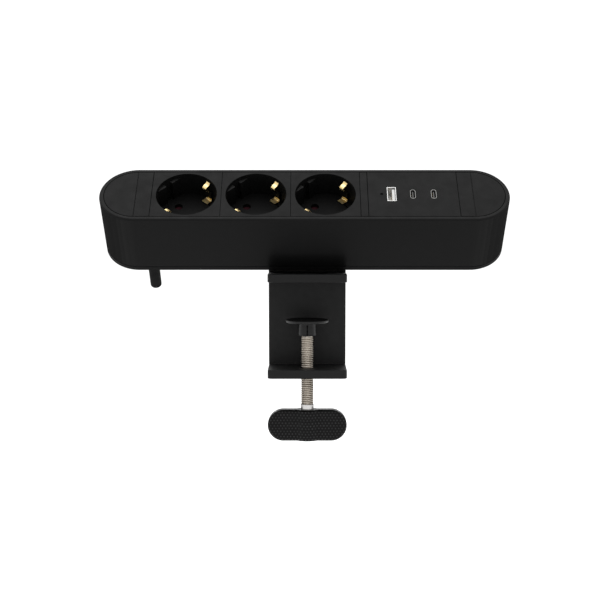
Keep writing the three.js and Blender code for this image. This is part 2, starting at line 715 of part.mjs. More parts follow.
// The waste outside a round front corner of a jaw.
function cornerWaste(side, front, zRange) {
  const radius = JAW_CORNER_RADIUS;
  const edge = CLAMP_WIDTH / 2;
  const shape = new THREE.Shape();
  shape.moveTo(edge + CUT, front - CUT);
  shape.lineTo(edge + CUT, front + radius);
  shape.lineTo(edge, front + radius);
  shape.absarc(edge - radius, front + radius, radius, 0, -Math.PI / 2, true);
  shape.lineTo(edge - radius, front - CUT);
  shape.closePath();
  const waste = prism(shape, zRange, 6);
  return side > 0 ? waste : waste.rotateY(Math.PI).translate(0, 0, zRange[0] + zRange[1]);
}

function clampBracket() {
  const upper = [-CUT, JAW_THICKNESS + CUT];
  const lower = [lowerJawBottom - CUT, lowerJawTop + CUT];
  const corners = [-1, 1].flatMap((side) => [
    cornerWaste(side, UPPER_JAW_FRONT, upper),
    cornerWaste(side, LOWER_JAW_FRONT, lower),
  ]);
  const spindleHole = rod(0, SPINDLE_Y, lower, SPINDLE_RADIUS + SEAM, 36);
  const screwHoles = bracketScrewHoles([flangeBottom - CUT, flangeTop + CUT]).map((hole) => {
    hole.rotateX(STRIP_TILT);
    return hole.translate(STRIP_PLACE.x, STRIP_PLACE.y, STRIP_PLACE.z);
  });
  return cut(profileAlongX(clampProfile(), CLAMP_WIDTH), ...corners, spindleHole, ...screwHoles);
}

// A disc with a hub that snaps over the spindle's ball; crossed slots let the hub spread.
function pressurePad() {
  const discBottom = PAD_TOP - PAD_THICKNESS;
  const cavityTop = discBottom - SEAM;
  const lipTop = HUB_BOTTOM + HUB_LIP.height;
  const body = turned([
    [0, cavityTop],
    [HUB_CAVITY_RADIUS, cavityTop],
    [HUB_CAVITY_RADIUS, lipTop],
    [HUB_LIP.radius, lipTop],
    [HUB_LIP.radius, HUB_BOTTOM],
    [HUB_RADIUS, HUB_BOTTOM],
    [HUB_RADIUS - HUB_TAPER, discBottom],
    [PAD_RADIUS - PAD_CHAMFER, discBottom],
    [PAD_RADIUS, discBottom + PAD_CHAMFER],
    [PAD_RADIUS, PAD_TOP - PAD_CHAMFER],
    [PAD_RADIUS - PAD_CHAMFER, PAD_TOP],
    [0, PAD_TOP],
  ], 48);
  const { halfWidth, reach, floor } = HUB_SLOT;
  const slotZ = [HUB_BOTTOM - CUT, discBottom - floor];
  const slots = [
    slab([-halfWidth, halfWidth], [-reach, reach], slotZ),
    slab([-reach, reach], [-halfWidth, halfWidth], slotZ),
  ];
  return cut(body, ...slots);
}

// Ball end, neck, threaded length and the smooth shank that the knob is moulded on.
function clampSpindle() {
  const threadTop = HUB_BOTTOM - SEAM;
  const shankBottom = KNOB_TOP - KNOB_HEIGHT + KNOB_FLOOR;
  const neckAngle = -Math.acos(NECK_RADIUS / BALL.radius);
  const steps = 6;
  const ball = [];
  for (let i = 0; i <= steps; i += 1) {
    const angle = THREE.MathUtils.lerp(BALL.topAngle, neckAngle, i / steps);
    ball.push([BALL.radius * Math.cos(angle), BALL.centre + BALL.radius * Math.sin(angle)]);
  }
  return turned([
    [0, shankBottom],
    [SHANK_RADIUS, shankBottom],
    [SHANK_RADIUS, SHANK_TOP],
    [SPINDLE_RADIUS, SHANK_TOP],
    [SPINDLE_RADIUS, threadTop - THREAD_CHAMFER],
    [SPINDLE_RADIUS - THREAD_CHAMFER, threadTop],
    [NECK_RADIUS, threadTop],
    ...ball.reverse(),
    [0, BALL.centre + BALL.radius * Math.sin(BALL.topAngle)],
  ], 36);
}

// An oblong grip with round ends and a thicker round middle, blind-bored for the shank.
function knob() {
  const bottom = KNOB_TOP - KNOB_HEIGHT;
  const grip = prism(stadium(KNOB_LENGTH, KNOB_HEIGHT), [-KNOB_THICKNESS / 2, KNOB_THICKNESS / 2], 14)
    .rotateX(Math.PI / 2)
    .translate(0, 0, KNOB_TOP - KNOB_HEIGHT / 2);
  const middle = rod(0, 0, [bottom, KNOB_TOP], KNOB_HUB_RADIUS, 36);
  const bore = rod(0, 0, [bottom + KNOB_FLOOR - SEAM, KNOB_TOP + CUT], SHANK_RADIUS + SEAM, 32);
  return cut(join(grip, middle), bore);
}

add(clamp, 'clamp_bracket', clampBracket(), blackCoatedSteel());
add(clamp, 'pressure_pad', pressurePad(), blackPlastic()).position.y = SPINDLE_Y;
add(clamp, 'clamp_spindle', clampSpindle(), zincSteel()).position.y = SPINDLE_Y;
add(clamp, 'knob', knob(), darkPlastic()).position.y = SPINDLE_Y;

const powerStrip = new THREE.Group();
powerStrip.add(strip, clamp);

export default powerStrip;
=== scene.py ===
"""Desk power strip on a C-clamp: detailed pieces, materials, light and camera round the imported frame.

Shapes are drawn in millimetres, either in the clamp's space (the row frame) or in the strip's own
space, where the strip lies flat with z = 0 at its top face, and are then moved into the row frame.
"""

import math

import bmesh
import bpy
from mathutils import Matrix, Vector


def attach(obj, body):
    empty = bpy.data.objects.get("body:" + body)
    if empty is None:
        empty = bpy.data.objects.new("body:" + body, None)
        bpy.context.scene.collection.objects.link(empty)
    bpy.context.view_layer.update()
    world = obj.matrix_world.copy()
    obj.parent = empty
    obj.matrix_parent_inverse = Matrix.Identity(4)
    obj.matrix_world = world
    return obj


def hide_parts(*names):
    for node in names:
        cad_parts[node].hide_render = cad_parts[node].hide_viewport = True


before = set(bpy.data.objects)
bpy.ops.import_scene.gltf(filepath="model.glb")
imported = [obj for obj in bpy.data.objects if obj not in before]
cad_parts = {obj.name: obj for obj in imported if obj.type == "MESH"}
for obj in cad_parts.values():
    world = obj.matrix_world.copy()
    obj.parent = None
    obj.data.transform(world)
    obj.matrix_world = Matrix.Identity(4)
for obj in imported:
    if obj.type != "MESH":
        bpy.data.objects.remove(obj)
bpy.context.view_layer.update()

# ---- driving dimensions, as in the CAD source (millimetres) ----

SEAM = 0.3
STRIP_LENGTH = 266.0
STRIP_WIDTH = 48.6
STRIP_HEIGHT = 45.5
STRIP_TILT = math.radians(43)
STRIP_PLACE = Vector((-1.8, -17.1, 57.6))
RIM_WIDTH = 2.9
COVER_THICKNESS = 2.8
PLATE_THICKNESS = 3.0

SOCKET_PITCH = 45.0
SOCKETS = 3
SOCKETS_START = -99.0
SOCKETS_END = SOCKETS_START + SOCKETS * SOCKET_PITCH
END_CAP_SEAM = 109.5
USB_START = 41.0
USB_END = 99.6

WELL_RADIUS = 19.75
WELL_DEPTH = 17.5
CUP_WALL = 1.2
CUP_FLOOR = 2.2
PIN_OFFSET = 9.5
PIN_HOLE_RADIUS = 2.7
PIN_AXIS_TURN = math.radians(135)
KEY_FACE = 17.3
KEY_TOP = -3.2
KEY_GROOVE = 2.6
SHUTTER_TRAVEL = 5.5
SHUTTER_THICKNESS = 2.4
SHUTTER_WIDTH = 9.0
EARTH_TAB = 15.8

USB_DEPTH = 13.7
USB_A_X = 56.4
USB_C_X = (70.2, 83.7)
USB_A_SIZE = (5.9, 13.3)
USB_C_SIZE = (3.8, 8.9)
USB_A_WALL = 0.45
USB_C_WALL = 0.6
LED_X = 50.0
LED_RADIUS = 0.78
LED_HOLE_RADIUS = 0.95

CORD_X = -103.4
CORD_RADIUS = 3.85
CORD_INSIDE = 12.0
CORD_OUTSIDE = 39.2
GLAND_RADIUS = 5.8

CLAMP_WIDTH = 52.1
JAW_THICKNESS = 5.4
UPPER_JAW_FRONT = -15.5
LOWER_JAW_FRONT = -19.3
LOWER_JAW_THICKNESS = 5.7
BACK_PLATE_FRONT = 15.5
BACK_PLATE_THICKNESS = 5.0
CLAMP_OPENING = 57.1
FLANGE_THICKNESS = 4.5
FLANGE_END = 22.0
BRACKET_SCREW_SPREAD = 14.0
BRACKET_SCREW_Y = 16.5
BRACKET_HOLE_RADIUS = 2.3
COVER_SCREW_X = 118.0
COVER_SCREW_PILOT = 1.8

SPINDLE_Y = -2.0
SPINDLE_RADIUS = 4.1
THREAD_PITCH = 1.25
PAD_TOP = -25.1
PAD_RADIUS = 14.2
PAD_THICKNESS = 2.4
HUB_RADIUS = 5.9
HUB_BOTTOM = -35.8
SHANK_TOP = -81.8
SHANK_RADIUS = 4.3
SHANK_IN_KNOB = 4.0

KNOB_TOP = -85.1
KNOB_LENGTH = 52.8
KNOB_HEIGHT = 21.0
KNOB_THICKNESS = 11.0
KNOB_HUB_RADIUS = 8.5

INNER_WIDTH = STRIP_WIDTH - 2 * RIM_WIDTH
INNER_LENGTH = STRIP_LENGTH - 2 * RIM_WIDTH
PLATE_WIDTH = INNER_WIDTH - 2 * SEAM
COVER_TOP = COVER_THICKNESS - STRIP_HEIGHT
CLAMP_X_IN_STRIP = -STRIP_PLACE.x

PAST = 1  # how far a cutting or joining solid runs past the face that it meets
FIT = 0.12  # the gap round a part in its hole
FACES_UP = 0.3  # the least upward part of a normal for a face that counts as a top

MILLIMETRES = Matrix.Scale(0.001, 4)
CLAMP_SPACE = MILLIMETRES
ON_SPINDLE = Matrix.Translation((0, SPINDLE_Y, 0))
STRIP_SPACE = MILLIMETRES @ Matrix.Translation(STRIP_PLACE) @ Matrix.Rotation(STRIP_TILT, 4, "X")


def socket_space(index):
    """The space of one socket: its centre at the top face, with the pins along x."""
    x = SOCKETS_START + (index + 0.5) * SOCKET_PITCH
    return STRIP_SPACE @ Matrix.Translation((x, 0, 0)) @ Matrix.Rotation(PIN_AXIS_TURN, 4, "Z")


# ---- camera ----

CAMERA_PLACE = Vector((-0.0015, -0.8253, 0.0440))
CAMERA_PITCH = math.radians(4.14)
CAMERA_LENS = 73.4
CAMERA_SENSOR = 36

camera_data = bpy.data.cameras.new("camera")
camera_data.lens = CAMERA_LENS
camera_data.sensor_width = CAMERA_SENSOR
camera_data.clip_start = 0.01
camera_data.clip_end = 50
camera = bpy.data.objects.new("camera", camera_data)
camera.location = CAMERA_PLACE
camera.rotation_euler = (math.pi / 2 - CAMERA_PITCH, 0, 0)
bpy.context.scene.collection.objects.link(camera)
bpy.context.scene.camera = camera


# ---- node helpers ----

NOISE_LOW, NOISE_HIGH = 0.3, 0.7


class Nodes:
    """A material's node tree, with short calls for the nodes used here."""

    def __init__(self, name):
        self.material = bpy.data.materials.new(name)
        self.material.use_nodes = True
        self.tree = self.material.node_tree
        self.shader = self.tree.nodes["Principled BSDF"]
        self.place = self.tree.nodes.new("ShaderNodeTexCoord").outputs["Object"]

    def set(self, **values):
        for name, value in values.items():
            self.shader.inputs[name.replace("_", " ")].default_value = value

    def link(self, source, target):
        self.tree.links.new(source, target)

    def mapped(self, scale):
        """The place on the object, stretched by a scale for each axis."""
        node = self.tree.nodes.new("ShaderNodeMapping")
        node.inputs["Scale"].default_value = scale
        self.link(self.place, node.inputs["Vector"])
        return node.outputs["Vector"]

    def noise(self, scale, detail=2, place=None):
        node = self.tree.nodes.new("ShaderNodeTexNoise")
        node.inputs["Scale"].default_value = scale
        node.inputs["Detail"].default_value = detail
        self.link(place or self.place, node.inputs["Vector"])
        return node.outputs["Fac"]

    def cells(self, scale):
        node = self.tree.nodes.new("ShaderNodeTexVoronoi")
        node.inputs["Scale"].default_value = scale
        self.link(self.place, node.inputs["Vector"])
        return node.outputs["Distance"]

    def range(self, noise, low, high):
        """Spreads the usual run of a noise over the range from low to high."""
        node = self.tree.nodes.new("ShaderNodeMapRange")
        node.inputs["From Min"].default_value = NOISE_LOW
        node.inputs["From Max"].default_value = NOISE_HIGH
        node.inputs["To Min"].default_value = low
        node.inputs["To Max"].default_value = high
        self.link(noise, node.inputs["Value"])
        return node.outputs["Result"]

    def colours(self, value, *stops):
        """A colour ramp: stops are (position, (r, g, b))."""
        node = self.tree.nodes.new("ShaderNodeValToRGB")
        ramp = node.color_ramp
        while len(ramp.elements) < len(stops):
            ramp.elements.new(1.0)
        for element, (position, colour) in zip(ramp.elements, stops):
            element.position = position
            element.color = (*colour, 1)
        self.link(value, node.inputs["Fac"])
        return node.outputs["Color"]

    def sum(self, a, b):
        node = self.tree.nodes.new("ShaderNodeMath")
        node.operation = "ADD"
        self.link(a, node.inputs[0])
        self.link(b, node.inputs[1])
        return node.outputs["Value"]

    def bump(self, height, distance, strength, below=None):
        node = self.tree.nodes.new("ShaderNodeBump")
        node.inputs["Distance"].default_value = distance
        node.inputs["Strength"].default_value = strength
        self.link(height, node.inputs["Height"])
        if below is not None:
            self.link(below, node.inputs["Normal"])
        self.link(node.outputs["Normal"], self.shader.inputs["Normal"])
        return node.outputs["Normal"]

    def colour(self, source):
        self.link(source, self.shader.inputs["Base Color"])

    def roughness(self, source):
        self.link(source, self.shader.inputs["Roughness"])


def shade(colour, factor):
    return tuple(channel * factor for channel in colour)


def grey(level):
    return (level, level, level)


# ---- materials ----

# Noise and cell scales are per metre, and bump depths are in metres.

def moulded_plastic(name, colour, roughness, specular, grain=5200, depth=0.000012, uneven=0.05):
    """Spark-eroded moulded plastic: a fine even grain, faint clouding, slightly uneven gloss."""
    nodes = Nodes(name)
    cloud = nodes.noise(38, 3)
    speck = nodes.noise(grain * 0.6, 2)
    mix = nodes.sum(nodes.range(cloud, 0, 0.6), nodes.range(speck, 0, 0.4))
    nodes.colour(nodes.colours(mix, (0.0, shade(colour, 0.9)), (1.0, shade(colour, 1.12))))
    nodes.roughness(nodes.range(nodes.noise(120, 3), roughness - uneven, roughness + uneven))
    nodes.bump(nodes.cells(grain), depth, 0.5)
    nodes.set(Specular_IOR_Level=specular)
    return nodes.material


def powder_coat(name, colour):
    """Satin powder coat on steel: a soft orange peel under a finer sparkle of grain."""
    nodes = Nodes(name)
    speck = nodes.noise(3800, 2)
    nodes.colour(nodes.colours(speck, (0.3, shade(colour, 0.85)), (0.75, shade(colour, 1.2))))
    nodes.roughness(nodes.range(nodes.noise(300, 3), 0.42, 0.54))
    peel = nodes.bump(nodes.noise(900, 2), 0.00004, 0.35)
    nodes.bump(nodes.noise(4200, 2), 0.000012, 0.4, peel)
    nodes.set(Specular_IOR_Level=0.165)
    return nodes.material


def metal(name, dark, light, roughness, stretch=(1, 1, 1), scale=900, edge=1.0):
    """Bare or plated metal, with drawing or turning lines along the short axis of the stretch.

    Edge is how much of the light is kept where the surface turns away: below 1 it tints the edge's
    reflection darker, as painted shade along the outline.
    """
    nodes = Nodes(name)
    lines = nodes.noise(scale, 3, place=nodes.mapped(stretch))
    stain = nodes.noise(70, 3)
    mix = nodes.sum(nodes.range(lines, 0, 0.6), nodes.range(stain, 0, 0.4))
    nodes.colour(nodes.colours(mix, (0.0, dark), (1.0, light)))
    nodes.roughness(nodes.range(lines, roughness - 0.07, roughness + 0.09))
    nodes.bump(lines, 0.000006, 0.6)
    nodes.set(Metallic=1.0, Specular_Tint=(edge, edge, edge, 1))
    return nodes.material


def rubber(name, colour, roughness):
    """Matt rubber with a faint bloom and a fine soft grain."""
    nodes = Nodes(name)
    bloom = nodes.noise(160, 4)
    nodes.colour(nodes.colours(bloom, (0.25, shade(colour, 0.85)), (0.8, shade(colour, 1.25))))
    nodes.roughness(nodes.range(nodes.noise(600, 2), roughness - 0.06, roughness + 0.06))
    nodes.bump(nodes.noise(2600, 3), 0.00002, 0.4)
    nodes.set(Specular_IOR_Level=0.01)
    return nodes.material


def circuit_board_material():
    """Green solder mask with faint paler tracks."""
    nodes = Nodes("circuit_board")
    tracks = nodes.cells(420)
    nodes.colour(nodes.colours(tracks, (0.0, (0.03, 0.16, 0.07)), (0.25, (0.008, 0.07, 0.03))))
    nodes.roughness(nodes.range(nodes.noise(500), 0.25, 0.4))
    nodes.bump(tracks, 0.00003, 0.4)
    return nodes.material


# The housing's wall is one plastic drawn as lit and shaded copies, picked by how far each face turns
# sideways: it is satin and darkest at the front and grows more matt and lighter in grey round both ends, as
# painted light and shade.
# Each step holds the sideways part of the wall's normal where it stops, its grey level, its roughness and
# its specular level.
WALL_SHADE_STEPS = (
    (0.20, 0.0020, 0.37, 0.060),
    (0.34, 0.0034, 0.46, 0.046),
    (0.48, 0.0050, 0.58, 0.032),
    (0.64, 0.0068, 0.72, 0.017),
    (1.01, 0.0083, 0.80, 0.006),
)
WALL_SHADES = [
    moulded_plastic(f"housing_black_painted_shade_{step}", grey(level), roughness, specular, uneven=0.012)
    for step, (_, level, roughness, specular) in enumerate(WALL_SHADE_STEPS)
]
RIM = moulded_plastic("housing_rim_black", grey(0.0019), 0.56, 0.100)
COVER = moulded_plastic("cover_black", grey(0.0018), 0.64, 0.083)
INSERT = moulded_plastic("insert_black", grey(0.0019), 0.60, 0.092)
# The keys' tops take a lighter, glossier copy of the insert plastic: a painted highlight where the light
# falls on the ledges.
LEDGE_HIGHLIGHT = moulded_plastic("insert_ledge_painted_highlight", grey(0.0075), 0.5, 0.2)
KNOB = moulded_plastic("knob_black", grey(0.0019), 0.34, 0.086, grain=3600)
PAD = moulded_plastic("pad_black", grey(0.0045), 0.36, 0.20)
PAD_FACE = rubber("pad_face_rubber", grey(0.0042), 0.8)
SHUTTER = moulded_plastic("shutter_red", (0.022, 0.006, 0.0085), 0.6, 0.03)
CARRIER = moulded_plastic("carrier_white", (0.52, 0.50, 0.44), 0.55, 0.4)
COMPONENT = moulded_plastic("component_black", (0.02, 0.02, 0.024), 0.4, 0.4)
USB_WHITE = moulded_plastic("usb_a_white", (0.43, 0.43, 0.42), 0.5, 0.3)
USB_BLACK = moulded_plastic("usb_c_black", grey(0.045), 0.45, 0.4)
LENS = moulded_plastic("light_pipe_smoke", (0.0015, 0.0015, 0.0018), 0.5, 0.03, depth=0.000002)
CORD = rubber("cord_jacket", grey(0.0085), 0.5)
GLAND = rubber("gland_rubber", grey(0.007), 0.65)
LEAD_BROWN = moulded_plastic("lead_brown", (0.09, 0.03, 0.012), 0.35, 0.5)
LEAD_BLUE = moulded_plastic("lead_blue", (0.02, 0.07, 0.33), 0.35, 0.5)
LEAD_GREEN = moulded_plastic("lead_green", (0.10, 0.30, 0.04), 0.35, 0.5)
BOARD = circuit_board_material()
CLAMP_COAT = powder_coat("clamp_powder_coat", grey(0.0031))
BRASS = metal("contact_brass", (0.72, 0.54, 0.24), (0.88, 0.70, 0.36), 0.34, (1, 1, 0.05), 1600)
GOLD = metal("contact_gold", (0.75, 0.52, 0.20), (0.92, 0.70, 0.33), 0.22)
SHELL = metal("usb_shell_steel", (0.60, 0.60, 0.59), (0.76, 0.76, 0.75), 0.38, (1, 1, 0.05), 1500, edge=0.5)
# The USB-C shells' steel is drawn far darker than the USB-A shell's: painted shade, standing in for the
# shadow of a recessed mouth.
PORT_STEEL_SHADED = metal(
    "usb_c_shell_steel_painted_shade", (0.13, 0.13, 0.125), (0.19, 0.19, 0.185), 0.36, (1, 1, 0.05), 1500, edge=0.4,
)
SCREW = metal("screw_zinc", (0.42, 0.42, 0.41), (0.62, 0.61, 0.58), 0.34, scale=500)
# The thread and shank keep no reflection at their edges: painted shade along their outlines.
THREAD = metal(
    "spindle_thread", (0.375, 0.34, 0.295), (0.505, 0.46, 0.405), 0.28, (0.1, 0.1, 1), edge=0.0,
)
SHANK = metal(
    "spindle_shank", (0.42, 0.41, 0.40), (0.52, 0.51, 0.50), 0.26, (0.05, 0.05, 1), 1400, edge=0.0,
)
# The ball end is near-black steel: painted shade for the dark hollow of the hub, seen through its slots.
BALL_SHADE_STEEL = metal("spindle_ball_painted_shade", grey(0.008), grey(0.018), 0.45, edge=0.05)
# The dots' tips are a lighter, glossier copy of the knob plastic: a painted highlight where the light
# catches them.
DOT_TIP_HIGHLIGHT = moulded_plastic("knob_dot_tips_painted_highlight", grey(0.0110), 0.26, 0.24, grain=3600)


# ---- mesh helpers ----

def arc(cx, cy, radius, start, end, steps):
    """Points on a circle from one angle to another, in degrees, both ends included."""
    angles = [math.radians(start + (end - start) * i / steps) for i in range(steps + 1)]
    return [(cx + radius * math.cos(a), cy + radius * math.sin(a)) for a in angles]


def stadium(length, width, steps):
    """The outline of a rectangle with round ends, long side along x."""
    radius = width / 2
    centre = length / 2 - radius
    return arc(centre, 0, radius, -90, 90, steps) + arc(-centre, 0, radius, 90, 270, steps)


def rounded_rectangle(width, depth, radius, steps=6):
    x, y = width / 2 - radius, depth / 2 - radius
    corners = ((x, -y, -90), (x, y, 0), (-x, y, 90), (-x, -y, 180))
    return [point for cx, cy, start in corners for point in arc(cx, cy, radius, start, start + 90, steps)]


def prism(outline, z_low, z_high):
    """A solid with flat ends over an anticlockwise outline."""
    bm = bmesh.new()
    low = [bm.verts.new((x, y, z_low)) for x, y in outline]
    high = [bm.verts.new((x, y, z_high)) for x, y in outline]
    count = len(outline)
    for i in range(count):
        j = (i + 1) % count
        bm.faces.new((low[i], low[j], high[j], high[i]))
    bm.faces.new(high)
    bm.faces.new(low[::-1])
    return bm


def box(x_range, y_range, z_range):
    (x0, x1), (y0, y1) = x_range, y_range
    return prism([(x0, y0), (x1, y0), (x1, y1), (x0, y1)], *z_range)


def disc(x, y, radius, z_low, z_high, steps):
    return prism(arc(x, y, radius, 0, 360 * (steps - 1) / steps, steps - 1), z_low, z_high)


def loft(rings, closed=False, caps=True):
    """Quads between rings of points. Closed joins the last ring to the first."""
    bm = bmesh.new()
    loops = [[bm.verts.new(point) for point in ring] for ring in rings]
    following = loops[1:] + loops[:1] if closed else loops[1:]
    for a, b in zip(loops, following):
        count = len(a)
        for i in range(count):
            j = (i + 1) % count
            bm.faces.new((a[i], a[j], b[j], b[i]))
    if caps and not closed:
        bm.faces.new(loops[0][::-1])
        bm.faces.new(loops[-1])
    bmesh.ops.remove_doubles(bm, verts=bm.verts, dist=1e-5)
    bmesh.ops.recalc_face_normals(bm, faces=bm.faces)
    return bm


def lathe(profile, steps):
    """A profile of (radius, z) points turned about z: from axis to axis, or closed on itself."""
    turns = [2 * math.pi * i / steps for i in range(steps)]
    rings = [[(r * math.cos(a), r * math.sin(a), z) for a in turns] for r, z in profile]
    on_axis = profile[0][0] == 0 and profile[-1][0] == 0
    return loft(rings, closed=not on_axis, caps=False)


def sweep_round(outline_of, profile):
    """A closed profile of (inset, z) points carried round an outline that shrinks by the inset."""
    rings = [[(x, y, z) for x, y in outline_of(inset)] for inset, z in profile]
    return loft(rings, closed=True)


def move(bm, matrix):
    bmesh.ops.transform(bm, matrix=matrix, verts=bm.verts)
    return bm


def as_mesh(bm):
    mesh = bpy.data.meshes.new("mesh")
    bm.to_mesh(mesh)
    bm.free()
    return mesh


def together(*meshes):
    """Several loose meshes as one."""
    whole = bmesh.new()
    for mesh in meshes:
        whole.from_mesh(mesh)
        bpy.data.meshes.remove(mesh)
    return whole


def temporary(bm):
    obj = bpy.data.objects.new("temporary", as_mesh(bm))
    bpy.context.scene.collection.objects.link(obj)
    return obj


def evaluated(obj):
    """The object's mesh with its modifiers applied."""
    bpy.context.view_layer.update()
    graph = bpy.context.evaluated_depsgraph_get()
    return bpy.data.meshes.new_from_object(obj.evaluated_get(graph), depsgraph=graph)


def discard(obj):
    mesh = obj.data
    bpy.data.objects.remove(obj)
    bpy.data.meshes.remove(mesh)


SHARP_EDGE = math.radians(32)


def shaped(bm, add=(), cut=(), edge=0.0, edge_steps=3):
    """The mesh joined with some solids, cut by others, and with its sharp edges rounded."""
    obj = temporary(bm)
    tools = [(temporary(tool), "UNION") for tool in add]
    tools += [(temporary(tool), "DIFFERENCE") for tool in cut]
    for tool, operation in tools:
        boolean = obj.modifiers.new("boolean", "BOOLEAN")
        boolean.object = tool
        boolean.operation = operation
        boolean.solver = "EXACT"
    if edge:
        bevel = obj.modifiers.new("bevel", "BEVEL")
        bevel.width = edge
        bevel.segments = edge_steps
        bevel.limit_method = "ANGLE"
        bevel.angle_limit = SHARP_EDGE
        bevel.use_clamp_overlap = True
        bevel.miter_outer = "MITER_ARC"
    mesh = evaluated(obj)
    for tool, _ in tools:
        discard(tool)
    discard(obj)
    return mesh


def piece(name, mesh, space, material, nodes=(), body="root", sharp=40, smooth=True):
    """Places a finished mesh in the row frame, gives it its look and ties it to the frame.

    The material may be a list, which the faces' own material indices point into.
    """
    if isinstance(mesh, bmesh.types.BMesh):
        mesh = as_mesh(mesh)
    mesh.name = name
    mesh.transform(space)
    marks = [face.material_index for face in mesh.polygons]
    mesh.materials.clear()
    for look in material if isinstance(material, list) else [material]:
        mesh.materials.append(look)
    mesh.polygons.foreach_set("material_index", marks)
    if smooth:
        mesh.shade_smooth()
        mesh.set_sharp_from_angle(angle=math.radians(sharp))
    obj = bpy.data.objects.new(name, mesh)
    bpy.context.scene.collection.objects.link(obj)
    if smooth:
        weighted = obj.modifiers.new("normals", "WEIGHTED_NORMAL")
        weighted.keep_sharp = True
        finished = evaluated(obj)
        obj.modifiers.clear()
        obj.data = finished
        bpy.data.meshes.remove(mesh)
        finished.name = name
    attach(obj, body)
    if nodes:
        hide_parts(*nodes)
    return obj


def paint(node, material):
    """Gives a carried-over CAD node its material."""
    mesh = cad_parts[node].data
    mesh.materials.clear()
    mesh.materials.append(material)


# ---- cord ----

CORD_TOP = CORD_INSIDE - STRIP_HEIGHT
CORD_LENGTH = CORD_INSIDE + CORD_OUTSIDE
CORD_POINTS = 18
CORD_END_ROUND = 0.9


def power_cord():
    """A straight stub of round cord with a softened, slightly dished cut end."""
    end = CORD_TOP - CORD_LENGTH
    path = [(CORD_X, 0, CORD_TOP - CORD_LENGTH * i / (CORD_POINTS - 1)) for i in range(CORD_POINTS)]
    profile = [(0, CORD_TOP), (CORD_RADIUS, CORD_TOP)]
    profile += [(CORD_RADIUS, z) for _, _, z in path[1:-1]]
    profile += arc(CORD_RADIUS - CORD_END_ROUND, end + CORD_END_ROUND, CORD_END_ROUND, 0, -90, 6)
    profile += [(2.1, end), (1.8, end + 0.25), (0, end + 0.45)]
    bm = move(lathe(profile, 48), Matrix.Translation((CORD_X, 0, 0)))
    cord = piece("power_cord_stub", bm, STRIP_SPACE, CORD, ["power_cord"])


power_cord()


# ---- strip: housing, cover and plates ----

INNER_LIP_DEPTH = 8.0


def housing_outline(inset):
    return stadium(STRIP_LENGTH - 2 * inset, STRIP_WIDTH - 2 * inset, 96)


def housing():
    """The outer wall, with a rounded rim and softened edges along the seams."""
    rim, inner_edge, low_edge = 1.25, 0.22, 0.3
    bottom = COVER_TOP + SEAM
    profile = arc(low_edge, bottom + low_edge, low_edge, 270, 180, 4)
    profile += arc(rim, -rim, rim, 180, 90, 8)
    profile += arc(RIM_WIDTH - inner_edge, -inner_edge, inner_edge, 90, 0, 3)
    profile += [(RIM_WIDTH, -INNER_LIP_DEPTH), (RIM_WIDTH, bottom)]
    mesh = as_mesh(sweep_round(housing_outline, profile))
    # Faces that turn sideways take a wall copy by how far they turn: painted light and shade by facing
    # direction.
    for face in mesh.polygons:
        if face.normal.z <= FACES_UP:
            turned = abs(face.normal.x)
            face.material_index = 1 + sum(turned >= step[0] for step in WALL_SHADE_STEPS)
    piece("housing_shell", mesh, STRIP_SPACE, [RIM, *WALL_SHADES], ["housing_sleeve"])


def bracket_screw_x(side):
    return CLAMP_X_IN_STRIP + side * BRACKET_SCREW_SPREAD


def bottom_cover():
    """The flat cover, with sunk holes for its own screws and plain ones for the clamp's."""
    sink_radius, sink_depth = 3.3, 1.6
    through = (-STRIP_HEIGHT - PAST, COVER_TOP + PAST)
    sink = (-STRIP_HEIGHT - PAST, -STRIP_HEIGHT + sink_depth)
    screw_holes = []
    for side in (-1, 1):
        screw_holes.append(disc(side * COVER_SCREW_X, 0, COVER_SCREW_PILOT, *through, 24))
        screw_holes.append(disc(side * COVER_SCREW_X, 0, sink_radius, *sink, 40))
    bracket_holes = [
        disc(bracket_screw_x(side), BRACKET_SCREW_Y, BRACKET_HOLE_RADIUS, *through, 24) for side in (-1, 1)
    ]
    gland_hole = disc(CORD_X, 0, GLAND_RADIUS + SEAM, *through, 64)
    plate = prism(housing_outline(0), -STRIP_HEIGHT, COVER_TOP)
    mesh = shaped(plate, cut=[*screw_holes, *bracket_holes, gland_hole], edge=0.45)
    piece("bottom_cover_shell", mesh, STRIP_SPACE, COVER, ["bottom_cover"])


PLATE_EDGE = 0.22


def flat_plate(x_low, x_high):
    """A plate of the top face between two seams."""
    y_range = (-PLATE_WIDTH / 2, PLATE_WIDTH / 2)
    return box((x_low + SEAM / 2, x_high - SEAM / 2), y_range, (-PLATE_THICKNESS, 0))


def top_plate(name, x_low, x_high, node):
    mesh = shaped(flat_plate(x_low, x_high), edge=PLATE_EDGE)
    piece(name, mesh, STRIP_SPACE, INSERT, [node])


def end_cap(side):
    """A half-round plate with the post that takes the cover's screw."""
    name = "left" if side < 0 else "right"
    radius = PLATE_WIDTH / 2
    middle = INNER_LENGTH / 2 - SEAM - radius
    straight = END_CAP_SEAM + SEAM / 2
    outline = [(straight, radius), (straight, -radius)] + arc(middle, 0, radius, -90, 90, 72)
    outline = [(side * x, side * y) for x, y in outline]
    plate = prism(outline, -PLATE_THICKNESS, 0)
    post_radius, pilot_depth = 4.2, 12.6
    post_end = COVER_TOP + SEAM
    post = disc(side * COVER_SCREW_X, 0, post_radius, post_end, -PAST, 40)
    pilot = disc(side * COVER_SCREW_X, 0, COVER_SCREW_PILOT, COVER_TOP - PAST, post_end + pilot_depth, 24)
    mesh = shaped(plate, add=[post], cut=[pilot], edge=PLATE_EDGE)
    piece(f"end_cap_{name}_plate", mesh, STRIP_SPACE, INSERT, [f"end_cap_{name}"])


housing()
bottom_cover()
end_cap(-1)
end_cap(1)
top_plate("filler_left", -END_CAP_SEAM, SOCKETS_START, "filler_plate_left")
top_plate("filler_right", USB_END, END_CAP_SEAM, "filler_plate_right")
top_plate("spacer", SOCKETS_END, USB_START, "spacer_bar")


# ---- strip: sockets ----

